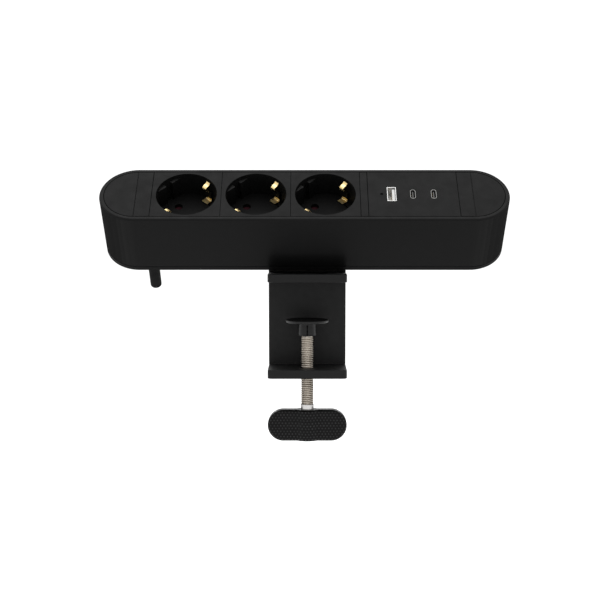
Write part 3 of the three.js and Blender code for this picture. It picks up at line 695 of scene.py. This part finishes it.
CUP_RADIUS = WELL_RADIUS + CUP_WALL
CUP_BOTTOM = -WELL_DEPTH - CUP_FLOOR
SHUTTER_TOP = CUP_BOTTOM - SEAM
SHUTTER_BOTTOM = SHUTTER_TOP - SHUTTER_THICKNESS
EARTH_BRIDGE_TOP = SHUTTER_BOTTOM - 1.2
EARTH_BRIDGE_BOTTOM = EARTH_BRIDGE_TOP - 0.9
# The keys' top faces within this reach take the painted highlight.
LEDGE_HIGHLIGHT_REACH = 0.3  # how far above or below the keys' tops a face may lie and still be ledge
CLIP_FOOT = -WELL_DEPTH + 0.7
CLIP_WIDE = 2.4
CLIP_NARROW = 1.55
CLIP_PATH = (  # (distance from the socket's middle, height, half width), from the foot up
    (14.3, CLIP_FOOT, CLIP_WIDE), (16.5, CLIP_FOOT, CLIP_WIDE), (18.1, CLIP_FOOT, CLIP_WIDE),
    (18.75, CLIP_FOOT + 0.8, CLIP_WIDE), (18.95, CLIP_FOOT + 2.6, CLIP_WIDE), (19.0, -13.4, CLIP_WIDE),
    (19.0, -11.6, CLIP_NARROW), (18.5, -9.4, CLIP_NARROW), (15.6, -6.4, CLIP_NARROW),
    (15.0, -5.2, CLIP_NARROW), (15.5, -4.35, CLIP_NARROW), (16.6, -3.75, CLIP_NARROW),
    (17.9, -3.4, CLIP_NARROW), (19.1, -2.1, CLIP_NARROW),
)


def turned_square(width, depth):
    """A rectangle that lies square to the strip, as seen from the socket's turned space."""
    turn = Matrix.Rotation(-PIN_AXIS_TURN, 2)
    x, y = width / 2, depth / 2
    return [tuple(turn @ Vector(corner)) for corner in ((-x, -y), (x, -y), (x, y), (-x, y))]


def keyed_well():
    """The well below the keys: flat keys at both pin sides, each pair with a groove between."""
    groove = math.degrees(math.asin(KEY_GROOVE / WELL_RADIUS))
    key = math.degrees(math.acos(KEY_FACE / WELL_RADIUS))
    half = arc(0, 0, WELL_RADIUS, -groove, groove, 6)
    half += [(KEY_FACE, KEY_GROOVE)]
    half += arc(0, 0, WELL_RADIUS, key, 180 - key, 64)
    half += [(-KEY_FACE, KEY_GROOVE)]
    return prism(half + [(-x, -y) for x, y in half], -WELL_DEPTH, KEY_TOP)


def socket_insert(index):
    """A socket's face and cup, with keys, pin holes and slots for the earth clips' tabs."""
    face = prism(turned_square(SOCKET_PITCH - SEAM, PLATE_WIDTH), -PLATE_THICKNESS, 0)
    cup = disc(0, 0, CUP_RADIUS, CUP_BOTTOM, -PAST, 144)
    mouth = disc(0, 0, WELL_RADIUS, KEY_TOP, PAST, 144)
    through_floor = (CUP_BOTTOM - PAST, -WELL_DEPTH + PAST)
    slot_length, slot_width = 5.0, 1.6
    holes, slots = [], []
    for side in (-1, 1):
        holes.append(disc(side * PIN_OFFSET, 0, PIN_HOLE_RADIUS, *through_floor, 48))
        tab_y = side * EARTH_TAB
        slot_y = (tab_y - slot_width / 2, tab_y + slot_width / 2)
        slots.append(box((-slot_length / 2, slot_length / 2), slot_y, through_floor))
    mesh = shaped(face, add=[cup], cut=[mouth, keyed_well(), *holes, *slots], edge=0.28)
    # Up-facing faces at the keys' tops take the lighter ledge copy: a painted highlight.
    for part in mesh.polygons:
        if abs(part.center.z - KEY_TOP) < LEDGE_HIGHLIGHT_REACH and part.normal.z > FACES_UP:
            part.material_index = 1
    piece(
        f"socket_face_{index + 1}", mesh, socket_space(index), [INSERT, LEDGE_HIGHLIGHT],
        [f"socket_insert_{index + 1}"],
    )


def clip_guides(index):
    """A shallow hood on the well's wall in front of each earth clip's riser."""
    hood_low, hood_high, hood_front = -14.4, -8.8, 17.9
    hood_half, channel_half, channel_front = 2.9, 2.5, 18.4
    guides = []
    for side in (-1, 1):
        hood_y = sorted((side * hood_front, side * 19.6))
        channel_y = sorted((side * channel_front, side * 21))
        hood = box((-hood_half, hood_half), hood_y, (hood_low, hood_high))
        channel = box((-channel_half, channel_half), channel_y, (hood_low - 0.6, hood_high + 0.8))
        guides.append(shaped(hood, cut=[channel], edge=0.15, edge_steps=2))
    bm = together(*guides)
    piece(f"clip_guides_{index + 1}", bm, socket_space(index), INSERT)


def shifted(outline, x):
    return [(px + x, py) for px, py in outline]


def shutter(index):
    """The sliding plate below a well, whose holes stand beside the pin holes at rest."""
    outline = rounded_rectangle(2 * PIN_OFFSET + SHUTTER_TRAVEL + 7.9, SHUTTER_WIDTH, 1.2)
    plate = prism(shifted(outline, (-SHUTTER_TRAVEL - 0.5) / 2), SHUTTER_BOTTOM, SHUTTER_TOP)
    through = (SHUTTER_BOTTOM - PAST, SHUTTER_TOP + PAST)
    holes = [disc(side * PIN_OFFSET - SHUTTER_TRAVEL, 0, PIN_HOLE_RADIUS, *through, 40) for side in (-1, 1)]
    name = f"shutter_{index + 1}"
    mesh = shaped(plate, cut=holes, edge=0.2)
    piece(f"{name}_slide", mesh, socket_space(index), SHUTTER, [name], body=name)


def between(a, b, c, d, t):
    """The Catmull-Rom curve's value a share t of the way from b to c."""
    square, cube = 2 * a - 5 * b + 4 * c - d, 3 * b - a - 3 * c + d
    return 0.5 * (2 * b + (c - a) * t + square * t * t + cube * t ** 3)


def smooth_path(points):
    """A Catmull-Rom line through (p, z, half width) points."""
    steps = 6
    held = [points[0], *points, points[-1]]
    path = []
    for around in zip(held, held[1:], held[2:], held[3:]):
        for i in range(steps):
            path.append(tuple(between(*values, i / steps) for values in zip(*around)))
    path.append(points[-1])
    return path


def spring_strip(points, thickness):
    """Sheet metal that follows (p, z, half width) points, with p measured along y."""
    path = smooth_path(points)
    rings = []
    for i, (p, z, half) in enumerate(path):
        before, after = path[max(i - 1, 0)], path[min(i + 1, len(path) - 1)]
        ahead = Vector((after[0] - before[0], after[1] - before[1])).normalized()
        off = Vector((-ahead.y, ahead.x)) * thickness / 2
        rings.append([
            (-half, p - off.x, z - off.y), (half, p - off.x, z - off.y),
            (half, p + off.x, z + off.y), (-half, p + off.x, z + off.y),
        ])
    return loft(rings)


def earth_contact(index):
    """Two sprung clips with their feet on the well's floor, joined by a bridge below it."""
    tab_half, sheet_half = 2.2, 0.4
    tab_x = (-tab_half, tab_half)
    tab_y = (EARTH_TAB - sheet_half, EARTH_TAB + sheet_half)
    parts = []
    for turn in (0, math.pi):
        spin = Matrix.Rotation(turn, 4, "Z")
        parts.append(move(spring_strip(CLIP_PATH, 0.6), spin))
        parts.append(move(box(tab_x, tab_y, (EARTH_BRIDGE_BOTTOM, CLIP_FOOT)), spin))
    bridge = box(tab_x, (-tab_y[1], tab_y[1]), (EARTH_BRIDGE_BOTTOM, EARTH_BRIDGE_TOP))
    mesh = shaped(bridge, add=parts, edge=0.12, edge_steps=2)
    piece(
        f"earth_clips_{index + 1}", mesh, socket_space(index), BRASS,
        [f"earth_contact_{index + 1}"],
    )


for socket in range(SOCKETS):
    socket_insert(socket)
    shutter(socket)
    clip_guides(socket)
    earth_contact(socket)


# ---- strip: USB ports ----

def usb_a_outline(grow=0.0):
    width, depth = USB_A_SIZE
    return rounded_rectangle(width + 2 * grow, depth + 2 * grow, max(0.45 + grow, 0.15), 5)


def usb_c_outline(grow=0.0):
    width, depth = USB_C_SIZE
    return rounded_rectangle(width + 2 * grow, depth + 2 * grow, width / 2 + grow - 0.01, 12)


def usb_faceplate():
    """The plate round the ports, with a small gap round each shell and a hole for the light."""
    through = (-PLATE_THICKNESS - PAST, PAST)
    openings = [prism(shifted(usb_a_outline(FIT), USB_A_X), *through)]
    openings += [prism(shifted(usb_c_outline(FIT), x), *through) for x in USB_C_X]
    openings.append(disc(LED_X, 0, LED_HOLE_RADIUS, *through, 32))
    mesh = shaped(flat_plate(USB_START, USB_END), cut=openings, edge=0.16)
    piece("usb_face", mesh, STRIP_SPACE, INSERT, ["usb_faceplate"])


def usb_shell(name, outline_of, wall, x, material):
    """A drawn metal tube with a rolled mouth."""
    roll = wall / 2
    profile = [(0, -USB_DEPTH), *arc(roll, -roll, roll, 180, 0, 6), (wall, -USB_DEPTH)]
    bm = sweep_round(lambda inset: outline_of(-inset), profile)
    move(bm, Matrix.Translation((x, 0, 0)))
    piece(f"{name}_tube", bm, STRIP_SPACE, material, [name])


def usb_tongue(name, x, blade, base_outline, base_top, material, contact_row):
    """The insulating base and tongue, with plated contacts along the tongue's near side.

    Blade is the tongue's two sides, half width and tip. The contact row is a count, pitch and width.
    """
    (x_low, x_high), half_width, tip = blade
    base = prism(base_outline, -USB_DEPTH, base_top)
    tongue = box((x_low, x_high), (-half_width, half_width), (-USB_DEPTH + PAST, tip))
    mesh = shaped(base, add=[tongue], edge=0.12, edge_steps=2)
    mesh.transform(Matrix.Translation((x, 0, 0)))
    piece(f"{name}_blade", mesh, STRIP_SPACE, material, [name])
    count, pitch, width = contact_row
    plating = 0.04
    contacts = []
    for i in range(count):
        middle = (i - (count - 1) / 2) * pitch
        y_range = (middle - width / 2, middle + width / 2)
        contacts.append(box((x_low - plating, x_low + plating), y_range, (base_top - 0.5, tip - 0.6)))
    bm = move(together(*map(as_mesh, contacts)), Matrix.Translation((x, 0, 0)))
    piece(f"{name}_contacts", bm, STRIP_SPACE, GOLD, smooth=False)


usb_faceplate()
usb_shell("usb_a_shell", usb_a_outline, USB_A_WALL, USB_A_X, SHELL)
usb_tongue(
    "usb_a_tongue", USB_A_X, blade=((0.35, 2.1), 5.3, -0.9), base_outline=usb_a_outline(-0.6),
    base_top=-6.5, material=USB_WHITE, contact_row=(4, 2.4, 1.1),
)
# The USB-C shells take the darker steel, a painted shade.
for number, port_x in enumerate(USB_C_X, 1):
    usb_shell(f"usb_c_shell_{number}", usb_c_outline, USB_C_WALL, port_x, PORT_STEEL_SHADED)
    usb_tongue(
        f"usb_c_tongue_{number}", port_x, blade=((-0.35, 0.35), 3.1, -0.9),
        base_outline=usb_c_outline(-0.75), base_top=-6.0, material=USB_BLACK,
        contact_row=(8, 0.7, 0.3),
    )


def status_light():
    """The light pipe's domed tip, just below the face."""
    shoulder, rise = -0.55, 0.3
    dome = arc(0, shoulder, LED_RADIUS, 0, 90, 5)
    bm = lathe([(0, -USB_DEPTH), (LED_RADIUS, -USB_DEPTH), *dome[:-1], (0, shoulder + rise)], 32)
    move(bm, Matrix.Translation((LED_X, 0, 0)))
    piece("status_light", bm, STRIP_SPACE, LENS, ["led_light_pipe"])


status_light()


# ---- strip: gland and screws ----

def cable_gland():
    """A bush round the cord, with rounded lips below and a collar inside the cover."""
    bore = CORD_RADIUS + FIT
    low = -STRIP_HEIGHT + 0.05
    lip = 0.35
    collar = GLAND_RADIUS + 2
    seat = COVER_TOP + SEAM
    high = COVER_TOP + 2
    profile = [
        *arc(bore + lip, low + lip, lip, 180, 270, 4),
        *arc(GLAND_RADIUS - lip, low + lip, lip, 270, 360, 4),
        (GLAND_RADIUS, seat), (collar, seat), (collar, high), (bore, high),
    ]
    bm = move(lathe(profile, 64), Matrix.Translation((CORD_X, 0, 0)))
    piece("cable_gland_bush", bm, STRIP_SPACE, GLAND, ["cable_gland"])


def cross_recess(z_low, z_high, reach, width):
    """Two crossed bars, to cut a screw head's recess or the slots of the pad's hub."""
    return [
        box((-reach, reach), (-width / 2, width / 2), (z_low, z_high)),
        box((-width / 2, width / 2), (-reach, reach), (z_low, z_high)),
    ]


def cover_screw(side, name):
    """A sunk self-tapping screw up into an end cap's post."""
    head = -STRIP_HEIGHT + 0.1
    seat, tip = head + 1.2, head + 14.3
    profile = [(0, head), (2.5, head), (3, head + 0.35), (3, seat), (1.5, seat), (1.5, tip - 0.5), (0, tip)]
    tools = cross_recess(head - PAST, head + 0.8, 1.7, 0.75)
    mesh = shaped(lathe(profile, 48), cut=tools, edge=0.06, edge_steps=2)
    mesh.transform(Matrix.Translation((side * COVER_SCREW_X, 0, 0)))
    piece(f"{name}_head", mesh, STRIP_SPACE, SCREW, [name])


def bracket_screw(side, name):
    """A pan-head machine screw up through the clamp's flange."""
    seat = -STRIP_HEIGHT - SEAM - FLANGE_THICKNESS - SEAM
    dome = [(3.8, seat), (3.8, seat - 0.9), (3.3, seat - 1.7), (2.2, seat - 2.25), (0, seat - 2.4)]
    tip = seat + 12.1
    profile = [(0, tip), (2, tip - 0.6), (2, seat), *dome]
    tools = cross_recess(seat - 4, seat - 1.2, 2.2, 0.95)
    mesh = shaped(lathe(profile[::-1], 56), cut=tools, edge=0.1, edge_steps=2)
    mesh.transform(Matrix.Translation((bracket_screw_x(side), BRACKET_SCREW_Y, 0)))
    piece(f"{name}_head", mesh, STRIP_SPACE, SCREW, [name])


cable_gland()
cover_screw(-1, "cover_screw_left")
cover_screw(1, "cover_screw_right")
bracket_screw(-1, "bracket_screw_1")
bracket_screw(1, "bracket_screw_2")


# ---- strip: pieces inside, carried over from the CAD ----

INSIDE = {
    "live_busbar": BRASS,
    "neutral_busbar": BRASS,
    "earth_rail": BRASS,
    "busbar_carrier": CARRIER,
    "cord_clamp": COVER,
    "usb_circuit_board": BOARD,
    "charger_transformer": COMPONENT,
    "charger_capacitor_1": COMPONENT,
    "charger_capacitor_2": COMPONENT,
    "live_lead": LEAD_BROWN,
    "neutral_lead": LEAD_BLUE,
    "earth_lead": LEAD_GREEN,
    "bracket_backing_plate": SCREW,
}
for inner_node, inner_material in INSIDE.items():
    paint(inner_node, inner_material)


# ---- clamp ----

LOWER_JAW_TOP = -CLAMP_OPENING
LOWER_JAW_BOTTOM = LOWER_JAW_TOP - LOWER_JAW_THICKNESS
BACK_PLATE_REAR = BACK_PLATE_FRONT + BACK_PLATE_THICKNESS
FLANGE_TOP = -STRIP_HEIGHT - SEAM
FLANGE_BOTTOM = FLANGE_TOP - FLANGE_THICKNESS


def flange_point(y, z):
    """A point of the strip's own y and z, in the clamp's y and z."""
    point = Matrix.Rotation(STRIP_TILT, 3, "X") @ Vector((0, y, z)) + STRIP_PLACE
    return point.y, point.z


def flange_height(z, at_y):
    """The clamp's z at a given y along the strip's plane of height z."""
    y0, z0 = flange_point(0, z)
    return z0 + (at_y - y0) * math.tan(STRIP_TILT)


def jaw_corner(side, front, z_low, z_high):
    """The waste outside a round front corner of a jaw."""
    radius, edge = 3.0, CLAMP_WIDTH / 2
    outline = [
        (edge + PAST, front - PAST),
        (edge + PAST, front + radius),
        *arc(edge - radius, front + radius, radius, 0, -90, 10),
        (edge - radius, front - PAST),
    ]
    if side < 0:
        outline = [(-x, y) for x, y in outline][::-1]
    return prism(outline, z_low - PAST, z_high + PAST)


def clamp_bracket():
    """The bent steel frame: both jaws, the back plate and the tilted flange under the strip."""
    bend = 5.0
    outline = [
        (LOWER_JAW_FRONT, LOWER_JAW_BOTTOM),
        *arc(BACK_PLATE_REAR - bend, LOWER_JAW_BOTTOM + bend, bend, -90, 0, 14),
        (BACK_PLATE_REAR, flange_height(FLANGE_BOTTOM, BACK_PLATE_REAR)),
        flange_point(FLANGE_END, FLANGE_BOTTOM),
        flange_point(FLANGE_END, FLANGE_TOP),
        (BACK_PLATE_FRONT, flange_height(FLANGE_TOP, BACK_PLATE_FRONT)),
        (BACK_PLATE_FRONT, JAW_THICKNESS),
        (UPPER_JAW_FRONT, JAW_THICKNESS),
        (UPPER_JAW_FRONT, 0),
        (BACK_PLATE_FRONT, 0),
        (BACK_PLATE_FRONT, LOWER_JAW_TOP),
        (LOWER_JAW_FRONT, LOWER_JAW_TOP),
    ]
    solid = prism(outline, -CLAMP_WIDTH / 2, CLAMP_WIDTH / 2)
    stand_up = Matrix(((0, 0, 1, 0), (1, 0, 0, 0), (0, 1, 0, 0), (0, 0, 0, 1)))
    move(solid, stand_up)
    corners = [jaw_corner(side, UPPER_JAW_FRONT, 0, JAW_THICKNESS) for side in (-1, 1)]
    corners += [jaw_corner(side, LOWER_JAW_FRONT, LOWER_JAW_BOTTOM, LOWER_JAW_TOP) for side in (-1, 1)]
    through_jaw = (LOWER_JAW_BOTTOM - PAST, LOWER_JAW_TOP + PAST)
    through_flange = (FLANGE_BOTTOM - PAST, FLANGE_TOP + PAST)
    spindle_hole = disc(0, SPINDLE_Y, SPINDLE_RADIUS + FIT, *through_jaw, 64)
    tilt = Matrix.Translation(STRIP_PLACE) @ Matrix.Rotation(STRIP_TILT, 4, "X")
    screw_holes = [
        move(disc(bracket_screw_x(side), BRACKET_SCREW_Y, BRACKET_HOLE_RADIUS, *through_flange, 32), tilt)
        for side in (-1, 1)
    ]
    mesh = shaped(solid, cut=[*corners, spindle_hole, *screw_holes], edge=0.5, edge_steps=4)
    piece("clamp_frame", mesh, CLAMP_SPACE, CLAMP_COAT, ["clamp_bracket"])


def pressure_pad():
    """A round foot with a soft rim, a thin rubber face and a slotted snap-on hub."""
    bottom = PAD_TOP - PAD_THICKNESS
    rim = 1.1
    face = PAD_TOP - 0.5
    socket_radius, socket_top = 4.2, bottom - 0.3
    hub_edge, neck = 0.35, 1.0
    profile = [
        (0, socket_top), (socket_radius, socket_top), (socket_radius, HUB_BOTTOM + 1.5),
        (3.2, HUB_BOTTOM + 1.2), (3.6, HUB_BOTTOM + 0.2), (3.9, HUB_BOTTOM),
        *arc(HUB_RADIUS - hub_edge, HUB_BOTTOM + hub_edge, hub_edge, 270, 360, 4),
        (HUB_RADIUS - hub_edge, bottom - 1.6),
        *arc(HUB_RADIUS + 0.65, bottom - neck, neck, 180, 90, 6),
        (PAD_RADIUS - rim, bottom + 0.1),
        *arc(PAD_RADIUS - rim, bottom + 0.1 + rim, rim, 270, 360, 8)[1:],
        (PAD_RADIUS, face - 0.1), (PAD_RADIUS - 0.15, face), (0, face),
    ]
    slots = cross_recess(HUB_BOTTOM - PAST, bottom - 1.2, 8, 0.9)
    mesh = shaped(lathe(profile, 120), cut=slots)
    mesh.transform(ON_SPINDLE)
    piece("pad_foot", mesh, CLAMP_SPACE, PAD, ["pressure_pad"], body="pad")
    sheet = lathe([
        (0, face + 0.02), (PAD_RADIUS - 0.5, face + 0.02),
        *arc(PAD_RADIUS - 0.65, PAD_TOP - 0.3, 0.3, 0, 90, 4), (0, PAD_TOP),
    ], 120)
    move(sheet, ON_SPINDLE)
    piece("pad_rubber_face", sheet, CLAMP_SPACE, PAD_FACE, body="pad")


def thread_radius(phase):
    """A shallow rolled thread with a wide flat crest: phase runs from 0 to 1 over a pitch."""
    depth = 0.36 * THREAD_PITCH
    crest, root = 0.34, 0.14
    distance = abs(phase - 0.5) * 2
    slope = min(max((distance - root) / (1 - root - crest), 0), 1)
    return SPINDLE_RADIUS - depth * (1 - slope)


def threaded_rod(z_low, z_high):
    """A right-hand helical thread whose rings follow the helix and gather at both ends."""
    steps, rows = 56, 8
    core = thread_radius(0.5)
    run_out = 0.9
    turns = math.ceil((z_high - z_low) / THREAD_PITCH) + 2
    rings = []
    for i in range(turns * rows):
        start = z_low - THREAD_PITCH + i * THREAD_PITCH / rows
        radius = thread_radius((i / rows) % 1)
        ring = []
        for j in range(steps):
            angle = 2 * math.pi * j / steps
            z = min(max(start + THREAD_PITCH * j / steps, z_low), z_high)
            lead = min((z - z_low) / run_out, (z_high - z) / run_out, 1)
            r = core + (radius - core) * lead
            ring.append((r * math.cos(angle), r * math.sin(angle), z))
        rings.append(ring)
    bm = bmesh.new()
    loops = [[bm.verts.new(point) for point in ring] for ring in rings]
    for i in range(len(loops) - 1):
        for j in range(steps - 1):
            bm.faces.new((loops[i][j], loops[i][j + 1], loops[i + 1][j + 1], loops[i + 1][j]))
        if i + rows + 1 < len(loops):
            bm.faces.new((loops[i][-1], loops[i + rows][0], loops[i + rows + 1][0], loops[i + 1][-1]))
    bmesh.ops.remove_doubles(bm, verts=bm.verts, dist=1e-4)
    return bm


def close_holes(bm):
    """Closes the rod's two open ends with flat faces."""
    open_edges = [edge for edge in bm.edges if edge.is_boundary]
    bmesh.ops.holes_fill(bm, edges=open_edges, sides=0)
    bmesh.ops.recalc_face_normals(bm, faces=bm.faces)
    return bm


def clamp_spindle():
    """The threaded rod, its ball end inside the pad's hub and its bright smooth shank."""
    rod_top = HUB_BOTTOM - SEAM
    thread = move(close_holes(threaded_rod(SHANK_TOP - 0.4, rod_top)), ON_SPINDLE)
    piece(
        "spindle_thread", thread, CLAMP_SPACE, THREAD, ["clamp_spindle"],
        body="spindle", sharp=60,
    )
    ball_radius, ball_z, neck_radius = 3.8, -31.0, 2.5
    neck = [(0, rod_top - 0.6), (neck_radius, rod_top - 0.6)]
    neck_angle = -math.degrees(math.acos(neck_radius / ball_radius))
    ball = arc(0, ball_z, ball_radius, neck_angle, 50, 14)
    tip = move(lathe([*neck, *ball, (0, ball[-1][1])], 64), ON_SPINDLE)
    # The ball end takes the near-black steel, a painted shade in the hub's slots.
    piece("spindle_ball_end", tip, CLAMP_SPACE, BALL_SHADE_STEEL, body="spindle")
    low, edge = KNOB_TOP - SHANK_IN_KNOB, 0.3
    rounding = arc(SHANK_RADIUS - edge, SHANK_TOP - edge, edge, 0, 90, 5)
    shank = move(lathe([(0, low), (SHANK_RADIUS, low), *rounding, (0, SHANK_TOP)], 80), ON_SPINDLE)
    piece("spindle_shank", shank, CLAMP_SPACE, SHANK, body="spindle")


DOT_PITCH_X = 2.2
DOT_PITCH_Z = 1.82
DOT_RADIUS = 0.82
DOT_HEIGHT = 0.42
# The share of a dot's height above which its faces take the painted highlight.
DOT_HIGHLIGHT_SHARE = 0.55
DOT_POWER = 1.4
BORE_DEPTH = 3.5
GRIP_STRAIGHT_STEPS = 110
GRIP_ROUND_STEPS = 90
GRIP_RINGS = 32
GRIP_CROWDING = 1.35  # above 1, the rings lie closer together towards the outline


def dot_height(x, z):
    """Height of the raised dots: rows of domes, each row shifted by half a pitch."""
    row = round(z / DOT_PITCH_Z)
    shift = DOT_PITCH_X / 2 if row % 2 else 0.0
    column = round((x - shift) / DOT_PITCH_X)
    distance = math.hypot(x - shift - column * DOT_PITCH_X, z - row * DOT_PITCH_Z)
    if distance >= DOT_RADIUS:
        return 0.0
    return DOT_HEIGHT * math.cos(math.pi / 2 * distance / DOT_RADIUS) ** DOT_POWER


def knob_half_thickness(x):
    """The grip's half thickness: flat wings that swell into a round middle."""
    wing = KNOB_THICKNESS / 2 - DOT_HEIGHT
    middle_radius = KNOB_HUB_RADIUS - DOT_HEIGHT
    if abs(x) >= middle_radius:
        hub = 0.0
    else:
        hub = math.sqrt(middle_radius ** 2 - x * x)
    blend = 1.2
    gap = max(blend - abs(wing - hub), 0) / blend
    return max(wing, hub) + gap * gap * blend / 4


def grip_outline(distance):
    """The stadium at a distance from the grip's middle line: bottom, right end, top, left end."""
    centre = KNOB_LENGTH / 2 - KNOB_HEIGHT / 2
    straight = [-centre + 2 * centre * i / GRIP_STRAIGHT_STEPS for i in range(GRIP_STRAIGHT_STEPS)]
    bottom = [(x, -distance) for x in straight]
    right = arc(centre, 0, distance, -90, 90, GRIP_ROUND_STEPS)[:-1]
    top = [(-x, distance) for x in straight]
    left = arc(-centre, 0, distance, 90, 270, GRIP_ROUND_STEPS)[:-1]
    return bottom + right + top + left


def grip_surface(x, z, inset):
    """The grip's half thickness with its dots and rounded outer edge, at an inset from its outline."""
    edge, plain_border = 2.2, 0.6
    half = knob_half_thickness(x)
    if inset < edge:
        half -= edge - math.sqrt(max(edge ** 2 - (edge - inset) ** 2, 0))
    fade = min(max((inset - plain_border) / plain_border, 0), 1)
    return half + dot_height(x, z) * fade


def close_middle(bm, ring):
    """Faces across the innermost ring: a strip between its long sides and a cap at each end."""
    count = len(ring)
    top_end = 2 * GRIP_STRAIGHT_STEPS + GRIP_ROUND_STEPS
    for i in range(GRIP_STRAIGHT_STEPS):
        bm.faces.new((ring[i], ring[i + 1], ring[top_end - i - 1], ring[(top_end - i) % count]))
    bm.faces.new(ring[count - GRIP_ROUND_STEPS:] + [ring[0]])
    bm.faces.new(ring[GRIP_STRAIGHT_STEPS:GRIP_STRAIGHT_STEPS + GRIP_ROUND_STEPS + 1])


def knob():
    """An oblong grip drawn as rings from its middle line out to its outline and back behind."""
    half_height = KNOB_HEIGHT / 2
    middle_z = KNOB_TOP - half_height
    shares = [1 - (1 - i / GRIP_RINGS) ** GRIP_CROWDING for i in range(1, GRIP_RINGS + 1)]
    outward = [half_height * share for share in shares]
    bm = bmesh.new()
    rings = []
    for side, distances in ((1, outward), (-1, outward[::-1])):
        for distance in distances:
            inset = half_height - distance
            rings.append([
                bm.verts.new((x, -side * grip_surface(x, z, inset), z + middle_z))
                for x, z in grip_outline(distance)
            ])
    for a, b in zip(rings, rings[1:]):
        for i in range(len(a)):
            j = (i + 1) % len(a)
            bm.faces.new((a[i], a[j], b[j], b[i]))
    close_middle(bm, rings[0])
    close_middle(bm, rings[-1])
    bmesh.ops.recalc_face_normals(bm, faces=bm.faces)
    bore = disc(0, 0, SHANK_RADIUS + FIT, KNOB_TOP - BORE_DEPTH, KNOB_TOP + 5, 80)
    mesh = shaped(bm, cut=[bore])
    # Faces near the dots' tops take the lighter tip copy: a painted highlight.
    for face in mesh.polygons:
        if dot_height(face.center.x, face.center.z - middle_z) > DOT_HIGHLIGHT_SHARE * DOT_HEIGHT:
            face.material_index = 1
    mesh.transform(ON_SPINDLE)
    piece(
        "knob_grip", mesh, CLAMP_SPACE, [KNOB, DOT_TIP_HIGHLIGHT], ["knob"],
        body="spindle", sharp=50,
    )


clamp_bracket()
pressure_pad()
clamp_spindle()
knob()


# ---- floor and light ----

FLOOR_HEIGHT = -0.19
FLOOR_RADIUS = 14.0
FLOOR_THICKNESS = 0.01
BACKDROP_STRENGTH = 1.14
OVERHEAD_PLACE = (-0.12, -0.1, 1.5)
OVERHEAD_SIZE = (2.6, 2.0)
OVERHEAD_POWER = 30


def floor():
    """A wide pale floor, below the lowest point of the knob."""
    mesh = as_mesh(disc(0, 0, FLOOR_RADIUS, -FLOOR_THICKNESS, 0, 96))
    nodes = Nodes("floor_pale")
    nodes.colour(nodes.colours(nodes.noise(3, 2), (0.3, grey(0.96)), (0.7, grey(0.98))))
    nodes.set(Roughness=0.9, Specular_IOR_Level=0.1)
    mesh.materials.append(nodes.material)
    obj = bpy.data.objects.new("floor", mesh)
    obj.location.z = FLOOR_HEIGHT
    bpy.context.scene.collection.objects.link(obj)


def overhead_light():
    """One large soft light above the strip, turned to the origin."""
    data = bpy.data.lights.new("overhead", "AREA")
    data.shape = "RECTANGLE"
    data.size, data.size_y = OVERHEAD_SIZE
    data.energy = OVERHEAD_POWER
    light = bpy.data.objects.new("overhead", data)
    light.location = OVERHEAD_PLACE
    light.rotation_euler = (-Vector(OVERHEAD_PLACE)).to_track_quat("-Z", "Y").to_euler()
    bpy.context.scene.collection.objects.link(light)


def studio_world():
    """An even white surround."""
    world = bpy.data.worlds.new("studio")
    world.use_nodes = True
    backdrop = world.node_tree.nodes["Background"]
    backdrop.inputs["Color"].default_value = (*grey(1), 1)
    backdrop.inputs["Strength"].default_value = BACKDROP_STRENGTH
    bpy.context.scene.world = world


floor()
studio_world()
overhead_light()
bpy.context.scene.view_settings.view_transform = "Standard"
